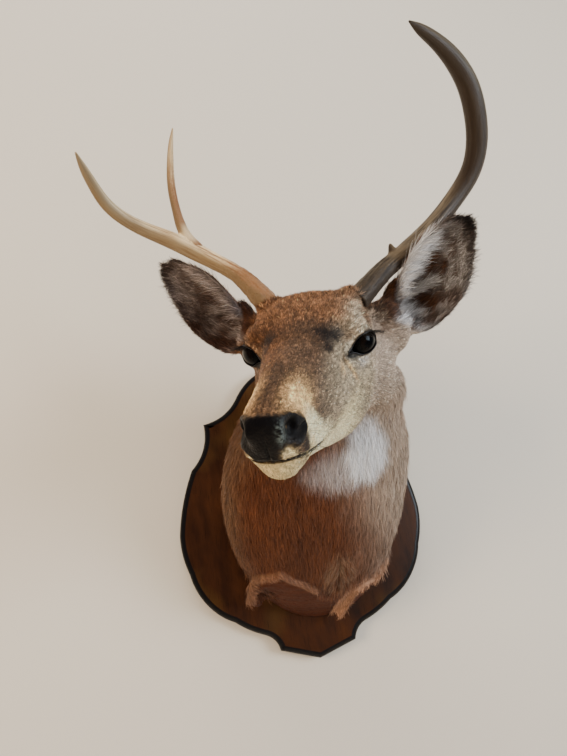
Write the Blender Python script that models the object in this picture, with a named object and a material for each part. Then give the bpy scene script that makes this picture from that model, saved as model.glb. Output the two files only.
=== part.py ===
"""Shoulder mount of a white-tailed buck on a shaped wooden plaque.

Metres, +Z up. The origin is the middle of the plaque's back face, which lies in the plane
y = 0 against the wall. The deer looks out along -Y, and +X is its own left side. The head has
a frame of its own: x to the deer's left, s back from the tip of the nose, z up from the bridge
of the nose. Every outline of the animal is the outline of its coat.
"""
import math
from collections import namedtuple

import bmesh
import bpy
import numpy as np
from mathutils import Matrix, Vector

MM = 0.001
GAP = 0.0003                        # clearance between two solids that touch
GROWTH = 1.15 * GAP                 # of a cutter, so that its flats keep the clearance too

# --- plaque ----------------------------------------------------------------------------
PLAQUE_WIDTH = 0.375
PLAQUE_HEIGHT = 0.447
PLAQUE_THICK = 0.022
PLAQUE_EDGE_ROUND = 0.007
HANGER_SIZE = (0.046, 0.0025, 0.070)
HANGER_HEIGHT = 0.120               # of its middle, above the origin
HANGER_SUNK = 0.0005                # behind the plane of the plaque's back
KEYHOLE_RADIUS = 0.0055
KEYHOLE_SLOT_RADIUS = 0.0025
KEYHOLE_LENGTH = 0.014              # between the middles of its two ends

# --- pose and size of the head ---------------------------------------------------------
NOSE_TIP = Vector((-0.0892, -0.5169, 0.0380))
HEAD_TURN = math.radians(24.8)      # nose towards the deer's right
NOSE_DROP = math.radians(37.9)      # bridge of the nose below the level
HEAD_ROLL = math.radians(6.9)       # the deer's left ear lowered
EYE_RADIUS = 16.5
EYE_CENTRE = (54.0, 206.0, -32.0)

# --- coarseness of the faceted solids --------------------------------------------------
VOXEL = 0.0042
SMOOTH_PASSES = 6
FLESH_TRIANGLES = 3600

# Sections across the head, in mm: s back from the nose, height of the top and the bottom,
# half width, height of the widest place, roundness above and below it (2 is an ellipse).
HeadStation = namedtuple("HeadStation", "s top bottom half_width wide_z round_up round_down")
HEAD_STATIONS = (
    HeadStation(0, -12, -33, 11, -23, 2.0, 2.0),            # front of the nose
    HeadStation(4, -6, -43, 19, -24, 2.2, 2.3),
    HeadStation(10, -3, -53, 23, -26, 2.3, 2.5),            # lips
    HeadStation(20, -1, -65, 25.5, -28, 2.3, 2.6),
    HeadStation(31, 0, -72, 26.5, -31, 2.3, 2.6),           # chin
    HeadStation(50, 1, -77, 27, -35, 2.2, 2.5),
    HeadStation(80, 1, -90, 30, -42, 2.2, 2.4),
    HeadStation(110, 1, -103, 35, -50, 2.2, 2.6),           # cheeks
    HeadStation(140, 1, -117, 43, -58, 2.2, 2.8),
    HeadStation(170, 4, -131, 51, -62, 2.3, 2.8),
    HeadStation(195, 8, -141, 58, -60, 2.7, 2.7),           # eyes
    HeadStation(215, 11, -147, 66, -52, 3.0, 2.5),
    HeadStation(235, 12, -150, 70, -50, 3.0, 2.4),          # widest, over the jaw joint
    HeadStation(260, 8, -150, 67, -52, 2.8, 2.4),
    HeadStation(285, 0, -146, 61, -54, 2.4, 2.3),           # poll
    HeadStation(305, -16, -136, 50, -60, 2.1, 2.2),
    HeadStation(318, -36, -116, 34, -70, 2.0, 2.0),
)

# Sections of the neck and chest, in metres: the highest and lowest point of each section,
# half its width, how far up its widest place is, and its roundness above and below that.
BodyStation = namedtuple("BodyStation", "top bottom half_width wide_at round_up round_down")
BODY_STATIONS = (
    BodyStation((0.000, -0.0223, 0.150), (0.012, -0.0223, -0.170), 0.115, 0.50, 2.1, 2.2),
    BodyStation((0.006, -0.070, 0.163), (0.004, -0.095, -0.139), 0.124, 0.47, 2.0, 2.4),
    BodyStation((0.012, -0.110, 0.174), (0.000, -0.148, -0.104), 0.126, 0.43, 1.8, 2.4),
    BodyStation((0.022, -0.155, 0.187), (0.001, -0.190, -0.050), 0.124, 0.38, 1.7, 2.2),
    BodyStation((0.033, -0.200, 0.199), (0.006, -0.228, 0.005), 0.107, 0.36, 1.7, 2.1),
    BodyStation((0.034, -0.235, 0.207), (0.008, -0.262, 0.048), 0.090, 0.40, 1.9, 2.0),
    BodyStation((0.029, -0.262, 0.210), (0.004, -0.275, 0.086), 0.068, 0.50, 2.0, 2.0),
)

# Rounded masses added to the head, in mm: centre (mirrored where x is not 0) and half axes.
HEAD_MASSES = (
    ((15, 17, -24), (10.5, 14, 15)),        # wings of the nostrils
    ((0, 27, -58), (18, 19, 15)),           # chin
    ((44, 205, -14), (22, 24, 15)),         # brow
    ((44, 262, 0), (21, 22, 13)),           # seat of the antler
    ((50, 222, -72), (18, 34, 24)),         # cheekbone
    ((70, 292, -42), (28, 20, 26)),         # root of the ear
    ((77, 297, -62), (30, 22, 30)),         # hide under the ear
    ((66, 300, -130), (30, 34, 40)),        # neck behind the jaw
    ((60, 272, -98), (27, 38, 48)),         # jaw joint, between cheek and neck
    ((0, 253, 0), (46, 25, 15)),            # crown
)

# Soft hollows pressed into the head, in mm: centre, radius and depth.
HEAD_HOLLOWS = (
    ((52, 172, -36), 19, 7.0),              # in front of the eye
    ((15, 5, -29), 6, 4.5),                 # nostril
    ((0, 140, 0), 22, 2.0),                 # between the brows
)

# The opening between the lids, in mm in the head's frame.
EYE_OUTWARD = Vector((0.77, -0.62, 0.05))
EYE_SLIT = Vector((0.62, 0.77, 0.10))
EYE_OPENING = (16.0, 11.0, 12.0)            # half length, half height, half depth
EYE_OPENING_OUT = 17.5                      # of its middle, from the middle of the eye

# Rolled edge of hide where the forelegs were, from the brisket to the board, in metres.
FOLD_RADIUS = 0.009
LEFT_FOLD = ((0.098, -0.095, -0.088), (0.088, -0.093, -0.112), (0.066, -0.080, -0.126),
             (0.048, -0.062, -0.142), (0.031, -0.040, -0.160))
RIGHT_FOLD = ((-0.048, -0.128, -0.098), (-0.070, -0.118, -0.102), (-0.091, -0.095, -0.112),
              (-0.092, -0.072, -0.124), (-0.080, -0.050, -0.134))

# Hide that climbs behind the front rim of the ear, in the head's frame: place and radius, mm.
EAR_WEB = (((76, 302, -38), 13), ((82, 305, -20), 8.5), ((89, 307, -5), 5.5), ((95, 308, 5), 3))

# --- ears: front edge, outer edge and back of the ear from its root to its tip, in the
# head's frame in mm, with how far the section is bent round (degrees) and its thickness.
EarStation = namedtuple("EarStation", "front outer back bend thickness")
EAR_STATIONS = (
    EarStation((56, 282, -28), (72, 292, -58), (50, 306, -36), 80, 7),
    EarStation((84, 290, -36), (100, 298, -64), (80, 325, -46), 85, 8),
    EarStation((95, 297, -26), (126, 304, -64), (101, 340, -42), 80, 7),
    EarStation((98, 298, -6), (153, 310, -47), (120, 340, -25), 75, 7),
    EarStation((106, 297, 16), (173, 312, -19), (138, 327, 0), 70, 7),
    EarStation((123, 297, 40), (180, 308, 17), (151, 314, 31), 65, 6.5),
    EarStation((145, 296, 55), (182, 301, 47), (160, 304, 51), 60, 6),
    EarStation((157, 294, 66), (176, 297, 62), (167, 299, 61), 60, 4),
)

# --- antlers: places along the beam (metres) and its radius (mm) -----------------------
LEFT_BEAM = (((0.046, -0.346, 0.189), 12.5), ((0.056, -0.346, 0.198), 12.2),
             ((0.084, -0.341, 0.224), 11.4), ((0.116, -0.338, 0.248), 11.2),
             ((0.157, -0.339, 0.281), 11.0), ((0.188, -0.347, 0.312), 11.2),
             ((0.206, -0.362, 0.337), 11.7), ((0.209, -0.381, 0.359), 12.2),
             ((0.203, -0.400, 0.378), 12.3), ((0.190, -0.421, 0.399), 11.6),
             ((0.168, -0.441, 0.415), 9.8), ((0.140, -0.458, 0.426), 7.0),
             ((0.122, -0.467, 0.430), 4.4), ((0.111, -0.473, 0.4315), 1.2))
BROW_NUB = (((0.101, -0.338, 0.236), 8.0), ((0.0985, -0.342, 0.248), 5.6),
            ((0.096, -0.345, 0.2565), 1.6))
RIGHT_BEAM = (((-0.045, -0.311, 0.205), 12.0), ((-0.053, -0.312, 0.216), 11.8),
              ((-0.074, -0.306, 0.247), 9.8), ((-0.103, -0.303, 0.271), 9.8),
              ((-0.125, -0.303, 0.286), 10.4), ((-0.141, -0.306, 0.295), 10.2),
              ((-0.165, -0.313, 0.3045), 9.0), ((-0.195, -0.328, 0.315), 7.7),
              ((-0.214, -0.345, 0.326), 6.9), ((-0.2235, -0.364, 0.337), 5.7),
              ((-0.2295, -0.382, 0.346), 4.0), ((-0.2333, -0.396, 0.3536), 1.2))
RIGHT_TINE = (((-0.139, -0.306, 0.296), 7.4), ((-0.137, -0.308, 0.310), 6.2),
              ((-0.1405, -0.310, 0.336), 5.1), ((-0.1439, -0.311, 0.369), 4.9),
              ((-0.1427, -0.313, 0.404), 4.0), ((-0.1400, -0.316, 0.427), 2.8),
              ((-0.1365, -0.319, 0.4452), 1.0))
FORK_PLACE = Vector((-0.150, -0.3085, 0.299))
FORK_DIRECTION = Vector((-0.93, -0.21, 0.33))

# Planes that divide the flesh: a point and the direction towards the head.
THROAT_CUT = (Vector((0.012, -0.238, 0.130)), Vector((-0.20, -0.93, 0.30)))
SHOULDER_CUT = (Vector((0.0, -0.120, 0.030)), Vector((0.0, -0.95, 0.31)))

# Colour, roughness and metallic of each material.
FINISHES = {
    "coat": ((0.33, 0.21, 0.13), 0.85, 0.0),
    "ear_coat": ((0.24, 0.17, 0.13), 0.85, 0.0),
    "eye_glass": ((0.01, 0.01, 0.012), 0.05, 0.0),
    "antler": ((0.46, 0.34, 0.20), 0.45, 0.0),
    "walnut": ((0.10, 0.045, 0.02), 0.35, 0.0),
    "hanger_steel": ((0.55, 0.55, 0.56), 0.35, 1.0),
}


def head_matrix():
    """Matrix from the head's frame (x, s, z in metres) to the object's frame."""
    turn = Matrix.Rotation(-HEAD_TURN, 3, "Z")
    drop = Matrix.Rotation(NOSE_DROP, 3, "X")
    roll = Matrix.Rotation(HEAD_ROLL, 3, "Y")
    return Matrix.Translation(NOSE_TIP) @ (turn @ drop @ roll).to_4x4()


HEAD = head_matrix()


def in_head(x, s, z):
    """A place given in mm in the head's frame, in the object's frame."""
    return HEAD @ Vector((x * MM, s * MM, z * MM))


def smooth_values(at, values, wanted):
    """Values between stations on a smooth curve that does not overshoot them."""
    at = np.asarray(at, float)
    values = np.asarray(values, float)
    if values.ndim > 1:
        columns = [smooth_values(at, values[:, i], wanted) for i in range(values.shape[1])]
        return np.stack(columns, axis=1)
    step = np.diff(at)
    slope = np.diff(values) / step
    tangent = np.zeros(len(at))
    tangent[0], tangent[-1] = slope[0], slope[-1]
    for i in range(1, len(at) - 1):
        if slope[i - 1] * slope[i] > 0:
            weight_a = 2 * step[i] + step[i - 1]
            weight_b = step[i] + 2 * step[i - 1]
            tangent[i] = (weight_a + weight_b) / (weight_a / slope[i - 1] + weight_b / slope[i])
    wanted = np.asarray(wanted, float)
    i = np.clip(np.searchsorted(at, wanted, side="right") - 1, 0, len(at) - 2)
    u = (wanted - at[i]) / step[i]
    return (values[i] * (1 + 2 * u) * (1 - u) ** 2 + tangent[i] * step[i] * u * (1 - u) ** 2
            + values[i + 1] * u * u * (3 - 2 * u) - tangent[i + 1] * step[i] * u * u * (1 - u))


def path_through(places, count):
    """Evenly spaced points on a smooth line through the given places, with their positions
    measured in places, so that other values can be read there too."""
    places = np.asarray(places, float)
    reach = np.concatenate([[0], np.cumsum(np.linalg.norm(np.diff(places, axis=0), axis=1))])
    wanted = np.linspace(0, reach[-1], count)
    points = np.stack([spline_values(reach, places[:, i], wanted) for i in range(3)], axis=1)
    return points, reach, wanted


def spline_values(at, values, wanted):
    """Values on the natural cubic spline through the stations."""
    count = len(at)
    step = np.diff(at)
    system = np.eye(count)
    right = np.zeros(count)
    for i in range(1, count - 1):
        system[i, i - 1:i + 2] = step[i - 1], 2 * (step[i - 1] + step[i]), step[i]
        right[i] = 6 * ((values[i + 1] - values[i]) / step[i]
                        - (values[i] - values[i - 1]) / step[i - 1])
    bend = np.linalg.solve(system, right)
    i = np.clip(np.searchsorted(at, wanted, side="right") - 1, 0, count - 2)
    a = (at[i + 1] - wanted) / step[i]
    b = (wanted - at[i]) / step[i]
    return (a * values[i] + b * values[i + 1]
            + ((a ** 3 - a) * bend[i] + (b ** 3 - b) * bend[i + 1]) * step[i] ** 2 / 6)


def superellipse(half_width, up, down, round_up, round_down, count):
    """Points (across, height) round a section whose upper and lower halves differ."""
    angle = np.linspace(0, 2 * np.pi, count, endpoint=False)
    cosine, sine = np.cos(angle), np.sin(angle)
    power = np.where(sine >= 0, 2 / round_up, 2 / round_down)
    height = np.where(sine >= 0, up, down)
    across = half_width * np.sign(cosine) * np.abs(cosine) ** power
    return np.stack([across, height * np.sign(sine) * np.abs(sine) ** power], axis=1)


def material(name):
    """The material of that name, made from its finish."""
    made = bpy.data.materials.get(name)
    if made is None:
        colour, roughness, metallic = FINISHES[name]
        made = bpy.data.materials.new(name)
        made.use_nodes = True
        shader = made.node_tree.nodes["Principled BSDF"]
        shader.inputs["Base Color"].default_value = (*colour, 1.0)
        shader.inputs["Roughness"].default_value = roughness
        shader.inputs["Metallic"].default_value = metallic
        made.diffuse_color = (*colour, 1.0)
    return made


def new_object(name, mesh, finish=None):
    """An object of that mesh in the scene."""
    made = bpy.data.objects.new(name, mesh)
    bpy.context.scene.collection.objects.link(made)
    if finish:
        mesh.materials.clear()
        mesh.materials.append(material(finish))
    return made


def mesh_from(work, name):
    """A mesh made from a bmesh, with its faces pointing out."""
    bmesh.ops.recalc_face_normals(work, faces=work.faces)
    mesh = bpy.data.meshes.new(name)
    work.to_mesh(mesh)
    work.free()
    return mesh


def loft(rings, name):
    """A closed mesh through rings of equally many points, an even number. Each end is capped by
    a strip of faces between the first half of its ring and the second."""
    work = bmesh.new()
    rows = [[work.verts.new(point) for point in ring] for ring in rings]
    count = len(rows[0])
    for near, far in zip(rows, rows[1:]):
        for i in range(count):
            j = (i + 1) % count
            work.faces.new((near[i], near[j], far[j], far[i]))
    for end in (rows[0], rows[-1]):
        for i in range(count // 2 - 1):
            work.faces.new((end[i], end[i + 1], end[count - 2 - i], end[count - 1 - i]))
    return mesh_from(work, name)


def sweep(places, radii, sides, rings, name):
    """A round tube of changing radius (mm) along a smooth line, pinched at its tip."""
    points, reach, wanted = path_through(places, rings)
    widths = smooth_values(reach, radii, wanted) * MM
    across = Vector((0, -1, 0))
    made = []
    for i, point in enumerate(points):
        ahead = Vector(points[min(i + 1, rings - 1)] - points[max(i - 1, 0)]).normalized()
        across = (across - ahead * across.dot(ahead)).normalized()
        side = ahead.cross(across)
        ring = []
        for k in range(sides):
            angle = 2 * math.pi * k / sides
            ring.append(Vector(point) + (across * math.cos(angle) + side * math.sin(angle))
                        * widths[i])
        made.append(ring)
    return loft(made, name)


def head_loft(slices=56, sides=40):
    """The main mass of the head."""
    along = [station.s for station in HEAD_STATIONS]
    table = np.array([station[1:] for station in HEAD_STATIONS], float)
    spread = (1 - np.cos(np.linspace(0, np.pi, slices))) / 2
    wanted = along[0] + (along[-1] - along[0]) * (0.35 * np.linspace(0, 1, slices) + 0.65 * spread)
    rings = []
    for s, row in zip(wanted, smooth_values(along, table, wanted)):
        top, bottom, half_width, wide_z, round_up, round_down = row
        section = superellipse(half_width, top - wide_z, wide_z - bottom,
                               round_up, round_down, sides)
        rings.append([in_head(x, s, wide_z + z) for x, z in section])
    return loft(rings, "head_loft")


def body_loft(slices=36, sides=48):
    """The neck and chest, from the board to inside the head."""
    order = np.arange(len(BODY_STATIONS), dtype=float)
    table = np.array([(*b.top, *b.bottom, *b[2:]) for b in BODY_STATIONS], float)
    rings = []
    for row in smooth_values(order, table, np.linspace(0, order[-1], slices)):
        top, bottom = Vector(row[0:3]), Vector(row[3:6])
        half_width, wide_at, round_up, round_down = row[6:]
        section = superellipse(half_width, 1 - wide_at, wide_at, round_up, round_down, sides)
        rings.append([bottom.lerp(top, wide_at + rise) + Vector((x, 0, 0)) for x, rise in section])
    return loft(rings, "body_loft")


def mass_mesh(centre, half_axes, side):
    """An ellipsoid in the head's frame."""
    work = bmesh.new()
    bmesh.ops.create_icosphere(work, subdivisions=3, radius=1.0)
    scale = Matrix.Diagonal(Vector(half_axes) * MM).to_4x4()
    place = Matrix.Translation(Vector((centre[0] * side, centre[1], centre[2])) * MM)
    bmesh.ops.transform(work, matrix=HEAD @ place @ scale, verts=work.verts)
    return mesh_from(work, "mass")


def joined(meshes, name):
    """One mesh that holds the shells of several."""
    work = bmesh.new()
    for mesh in meshes:
        work.from_mesh(mesh)
    made = bpy.data.meshes.new(name)
    work.to_mesh(made)
    work.free()
    return made


def evaluated(thing, name):
    """The mesh of an object with its modifiers, after which the object is removed."""
    bpy.context.view_layer.update()
    graph = bpy.context.evaluated_depsgraph_get()
    mesh = bpy.data.meshes.new_from_object(thing.evaluated_get(graph), depsgraph=graph)
    mesh.name = name
    bpy.data.objects.remove(thing)
    return mesh


def press_hollows(mesh):
    """Press the soft hollows of both sides into the head."""
    normals = [vertex.normal.copy() for vertex in mesh.vertices]
    for (x, s, z), radius, depth in HEAD_HOLLOWS:
        for side in ((1, -1) if x else (1,)):
            centre = in_head(x * side, s, z)
            for vertex, normal in zip(mesh.vertices, normals):
                nearness = (vertex.co - centre).length / (radius * MM)
                vertex.co -= normal * depth * MM * math.exp(-nearness ** 2)


def flesh_mesh():
    """Head, neck and chest as one smooth closed surface."""
    shells = [head_loft(), body_loft()]
    for centre, half_axes in HEAD_MASSES:
        shells += [mass_mesh(centre, half_axes, side) for side in ((1, -1) if centre[0] else (1,))]
    for fold in (LEFT_FOLD, RIGHT_FOLD):
        radii = [FOLD_RADIUS / MM] * len(fold)
        shells.append(sweep(fold, radii, 12, 16, "fold"))
    for side in (1, -1):
        places = [in_head(x * side, s, z) for (x, s, z), _ in EAR_WEB]
        shells.append(sweep(places, [radius for _, radius in EAR_WEB], 12, 14, "web"))
    thing = new_object("flesh", joined(shells, "flesh"))
    remesh = thing.modifiers.new("Remesh", "REMESH")
    remesh.mode = "VOXEL"
    remesh.voxel_size = VOXEL
    smooth = thing.modifiers.new("Smooth", "SMOOTH")
    smooth.factor = 0.5
    smooth.iterations = SMOOTH_PASSES
    mesh = evaluated(thing, "flesh")
    press_hollows(mesh)
    thing = new_object("flesh", mesh)
    decimate = thing.modifiers.new("Decimate", "DECIMATE")
    decimate.ratio = FLESH_TRIANGLES / sum(len(face.vertices) - 2 for face in mesh.polygons)
    return evaluated(thing, "flesh")


def halved(mesh, point, direction, keep_far):
    """The part of a closed mesh on one side of a plane, capped flat, half a gap short of it."""
    offset = direction.normalized() * (GAP / 2 if keep_far else -GAP / 2)
    work = bmesh.new()
    work.from_mesh(mesh)
    geometry = work.verts[:] + work.edges[:] + work.faces[:]
    cut = bmesh.ops.bisect_plane(work, geom=geometry, plane_co=point + offset,
                                 plane_no=direction, dist=1e-6,
                                 clear_inner=keep_far, clear_outer=not keep_far)
    edges = [item for item in cut["geom_cut"] if isinstance(item, bmesh.types.BMEdge)]
    bmesh.ops.contextual_create(work, geom=edges)
    bmesh.ops.triangulate(work, faces=[face for face in work.faces if len(face.verts) > 3])
    return mesh_from(work, mesh.name)


def swollen(mesh, name):
    """A cutter: the mesh grown by the gap."""
    work = bmesh.new()
    work.from_mesh(mesh)
    bmesh.ops.recalc_face_normals(work, faces=work.faces)
    for vertex in work.verts:
        vertex.co += vertex.normal * GROWTH
    grown = bpy.data.meshes.new(name)
    work.to_mesh(grown)
    work.free()
    cutter = new_object(name, grown)
    cutter.hide_render = True
    cutter.display_type = "WIRE"
    return cutter


def combined(mesh, cutters, operation, name, solver="EXACT"):
    """The mesh after a Boolean with each cutter in turn."""
    thing = new_object(name, mesh)
    for cutter in cutters:
        boolean = thing.modifiers.new(cutter.name, "BOOLEAN")
        boolean.operation = operation
        boolean.solver = solver
        boolean.object = cutter
    made = evaluated(thing, name)
    for cutter in cutters:
        bpy.data.objects.remove(cutter)
    return made


def eye_mesh(side):
    """A glass eye: a ball, of which the lids leave the front showing."""
    work = bmesh.new()
    bmesh.ops.create_uvsphere(work, u_segments=16, v_segments=10, radius=EYE_RADIUS * MM)
    centre = in_head(EYE_CENTRE[0] * side, EYE_CENTRE[1], EYE_CENTRE[2])
    bmesh.ops.transform(work, matrix=Matrix.Translation(centre), verts=work.verts)
    return mesh_from(work, "eye")


def lid_opening(side):
    """A cutter for the almond-shaped opening between the lids."""
    work = bmesh.new()
    bmesh.ops.create_icosphere(work, subdivisions=3, radius=1.0)
    outward = EYE_OUTWARD.normalized()
    slit = (EYE_SLIT - outward * EYE_SLIT.dot(outward)).normalized()
    turn = Matrix((slit, outward.cross(slit), outward)).transposed().to_4x4()
    centre = Vector(EYE_CENTRE) + outward * EYE_OPENING_OUT
    place = Matrix.Translation(centre * MM) @ turn @ Matrix.Diagonal(
        Vector(EYE_OPENING) * MM).to_4x4()
    mirror = Matrix.Diagonal((side, 1, 1, 1))
    bmesh.ops.transform(work, matrix=HEAD @ mirror @ place, verts=work.verts)
    return mesh_from(work, "lid_opening")


def ear_sheet(slices, steps):
    """The middle surface of the left ear as rows of points, with its thickness along them."""
    along = np.arange(len(EAR_STATIONS), dtype=float)
    table = np.array([(*e.front, *e.outer, *e.back, e.bend, e.thickness) for e in EAR_STATIONS])
    wanted = np.linspace(0, along[-1], slices)
    rows = np.stack([spline_values(along, table[:, i], wanted) for i in range(11)], axis=1)
    sheet = []
    for row in rows:
        front, outer, back, bend = row[0:3], row[3:6], row[6:9], math.radians(row[9])
        middle = (front + outer) / 2
        turn = np.linspace(-bend, bend, steps)[:, None]
        across = np.sin(turn) / math.sin(bend) * (outer - front) / 2
        depth = (np.cos(turn) - math.cos(bend)) / (1 - math.cos(bend)) * (back - middle)
        sheet.append(middle + across + depth)
    return np.array(sheet), rows[:, 10]


def ear_rings(side, slices=15, steps=9):
    """Sections of an ear: its middle surface given its thickness."""
    sheet, thickness = ear_sheet(slices, steps)
    normal = np.cross(np.gradient(sheet, axis=0), np.gradient(sheet, axis=1))
    normal /= np.linalg.norm(normal, axis=2, keepdims=True)
    half = normal * thickness[:, None, None] / 2
    rings = np.concatenate([sheet + half, (sheet - half)[:, ::-1]], axis=1)
    return [[in_head(x * side, s, z) for x, s, z in ring] for ring in rings]


def plaque_outline():
    """Half outline of the plaque, from its lowest point up the +X side to the top of its dome.
    Each stretch is a straight line, or an arc given by the height of its bulge."""
    half, low = PLAQUE_WIDTH / 2, -PLAQUE_HEIGHT / 2
    corners = (
        ((0.0, 0.0), 0.0),
        ((0.0557, 0.0175), -0.004),         # notch, then a hollow
        ((0.075, 0.0410), 0.002),
        ((0.118, 0.0645), 0.002),           # swelling out to the widest place
        ((0.150, 0.087), 0.004),
        ((0.177, 0.138), 0.003),
        ((half, 0.195), 0.004),
        ((0.162, 0.291), -0.004),           # hollow up to the horn
        ((0.1385, 0.334), -0.001),
        ((0.138, 0.361), -0.009),           # hollow from the horn
        ((0.080, 0.403), 0.0125),           # dome
        ((0.0, PLAQUE_HEIGHT), 0.0),
    )
    points = []
    for (start, bulge), (end, _) in zip(corners, corners[1:]):
        start, end = Vector(start), Vector(end)
        chord = end - start
        out = Vector((chord.y, -chord.x)).normalized()
        steps = 1 if bulge == 0 else 5
        for k in range(steps):
            u = k / steps
            points.append(start + chord * u + out * bulge * 4 * u * (1 - u))
    points.append(Vector(corners[-1][0]))
    return [(point.x, point.y + low) for point in points]


def plaque_mesh():
    """The board: its outline extruded, with a rounded front edge and a pocket in its back."""
    half = plaque_outline()
    outline = half + [(-x, z) for x, z in reversed(half[1:-1])]
    work = bmesh.new()
    back = [work.verts.new((x, 0.0, z)) for x, z in outline]
    made = bmesh.ops.extrude_face_region(work, geom=[work.faces.new(back)])
    front = [item for item in made["geom"] if isinstance(item, bmesh.types.BMVert)]
    bmesh.ops.translate(work, vec=(0, -PLAQUE_THICK, 0), verts=front)
    edges = [edge for edge in work.edges
             if all(abs(vert.co.y + PLAQUE_THICK) < 1e-6 for vert in edge.verts)]
    bmesh.ops.bevel(work, geom=edges, offset=PLAQUE_EDGE_ROUND, segments=2, profile=0.5,
                    affect="EDGES", clamp_overlap=True)
    bmesh.ops.triangulate(work, faces=[face for face in work.faces if len(face.verts) > 4])
    board = mesh_from(work, "plaque")
    width, depth, height = HANGER_SIZE
    pocket = box_mesh((width + 2 * GAP, 2 * (depth + GAP + HANGER_SUNK), height + 2 * GAP),
                      (0, 0, HANGER_HEIGHT))
    return combined(board, [cutter_object(pocket)], "DIFFERENCE", "plaque")


def cutter_object(mesh):
    """An object used only to cut."""
    cutter = new_object("cutter", mesh)
    cutter.hide_render = True
    cutter.display_type = "WIRE"
    return cutter


def box_mesh(size, centre):
    """A box of that size about its centre."""
    work = bmesh.new()
    bmesh.ops.create_cube(work, size=1.0)
    place = Matrix.Translation(centre) @ Matrix.Diagonal(size).to_4x4()
    bmesh.ops.transform(work, matrix=place, verts=work.verts)
    return mesh_from(work, "box")


def hanger_mesh():
    """A flat steel hanger plate with a keyhole, let into the back of the board."""
    width, depth, height = HANGER_SIZE
    plate = box_mesh((width, depth, height), (0, -HANGER_SUNK - depth / 2, HANGER_HEIGHT))
    cutters = []
    half_slot = KEYHOLE_LENGTH / 2
    for radius, lift in ((KEYHOLE_RADIUS, -half_slot), (KEYHOLE_SLOT_RADIUS, half_slot)):
        work = bmesh.new()
        bmesh.ops.create_cone(work, cap_ends=True, segments=20, radius1=radius, radius2=radius,
                              depth=4 * depth)
        place = Matrix.Translation((0, -depth, HANGER_HEIGHT + lift))
        bmesh.ops.transform(work, matrix=place @ Matrix.Rotation(math.pi / 2, 4, "X"),
                            verts=work.verts)
        cutters.append(cutter_object(mesh_from(work, "hole")))
    slot = box_mesh((2 * KEYHOLE_SLOT_RADIUS, 4 * depth, KEYHOLE_LENGTH),
                    (0, -depth, HANGER_HEIGHT))
    cutters.append(cutter_object(slot))
    return combined(plate, cutters, "DIFFERENCE", "hanger_plate")


def beam_mesh(stations, sides, rings, name):
    """An antler beam through its stations."""
    return sweep([place for place, _ in stations], [radius for _, radius in stations],
                 sides, rings, name)


def union(mesh, other, name):
    """Two overlapping meshes made one."""
    return combined(mesh, [cutter_object(other)], "UNION", name)


def build_flesh(ears, eyes, antlers):
    """Chest, neck and head, the head with sockets for what is set in it."""
    flesh = flesh_mesh()
    chest = halved(flesh, *SHOULDER_CUT, keep_far=False)
    upper = halved(flesh, *SHOULDER_CUT, keep_far=True)
    neck = halved(upper, *THROAT_CUT, keep_far=False)
    head = halved(upper, *THROAT_CUT, keep_far=True)
    new_object("chest", chest, "coat")
    for name, mesh in (("neck", neck), ("head", head)):
        cutters = [swollen(item, "socket") for item in (*ears, *eyes, *antlers)]
        cutters += [cutter_object(lid_opening(side)) for side in (1, -1)]
        new_object(name, combined(mesh, cutters, "DIFFERENCE", name, "MANIFOLD"), "coat")


def build_antlers():
    """The left beam with its nub, and the right beam divided at its fork."""
    left = union(beam_mesh(LEFT_BEAM, 10, 28, "antler_left"),
                 beam_mesh(BROW_NUB, 6, 6, "nub"), "antler_left")
    whole = beam_mesh(RIGHT_BEAM, 10, 26, "antler_right")
    base = halved(whole, FORK_PLACE, FORK_DIRECTION, keep_far=False)
    beam = halved(whole, FORK_PLACE, FORK_DIRECTION, keep_far=True)
    tine = combined(beam_mesh(RIGHT_TINE, 8, 14, "tine"),
                    [swollen(base, "cut_base"), swollen(beam, "cut_beam")],
                    "DIFFERENCE", "antler_right_tine")
    new_object("antler_left", left, "antler")
    new_object("antler_right_base", base, "antler")
    new_object("antler_right_beam", beam, "antler")
    new_object("antler_right_tine", tine, "antler")
    return [left, whole]


def main():
    """Build every node of the mount."""
    for thing in list(bpy.data.objects):
        bpy.data.objects.remove(thing)
    ears, eyes = [], []
    for name, side in (("left", 1), ("right", -1)):
        ear = loft(ear_rings(side), f"ear_{name}")
        eye = eye_mesh(side)
        new_object(f"ear_{name}", ear, "ear_coat")
        new_object(f"eye_{name}", eye, "eye_glass")
        ears.append(ear)
        eyes.append(eye)
    antlers = build_antlers()
    build_flesh(ears, eyes, antlers)
    new_object("plaque", plaque_mesh(), "walnut")
    new_object("hanger_plate", hanger_mesh(), "hanger_steel")
    for thing in bpy.data.objects:
        if thing.type == "MESH" and not thing.hide_render:
            thing.data.shade_smooth()
            thing.data.set_sharp_from_angle(angle=math.radians(35))


main()
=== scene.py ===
"""Looks of a white-tailed buck's shoulder mount on a walnut plaque, built round its frame.

Metres, +Z up. The wall is the plane y = 0, the deer looks out along -Y and +X is its own left.
The head has a frame of its own, in millimetres: x to the deer's left, s back from the tip of
the nose, z up from the bridge of the nose. What both sides share is written for the left side,
and the right side is mirrored.
"""
import logging
import math
from collections.abc import Sequence
from dataclasses import dataclass, field
from enum import Enum
from functools import cached_property

import bmesh
import bpy
import numpy as np
from mathutils import Euler, Matrix, Vector
from mathutils.bvhtree import BVHTree


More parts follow.
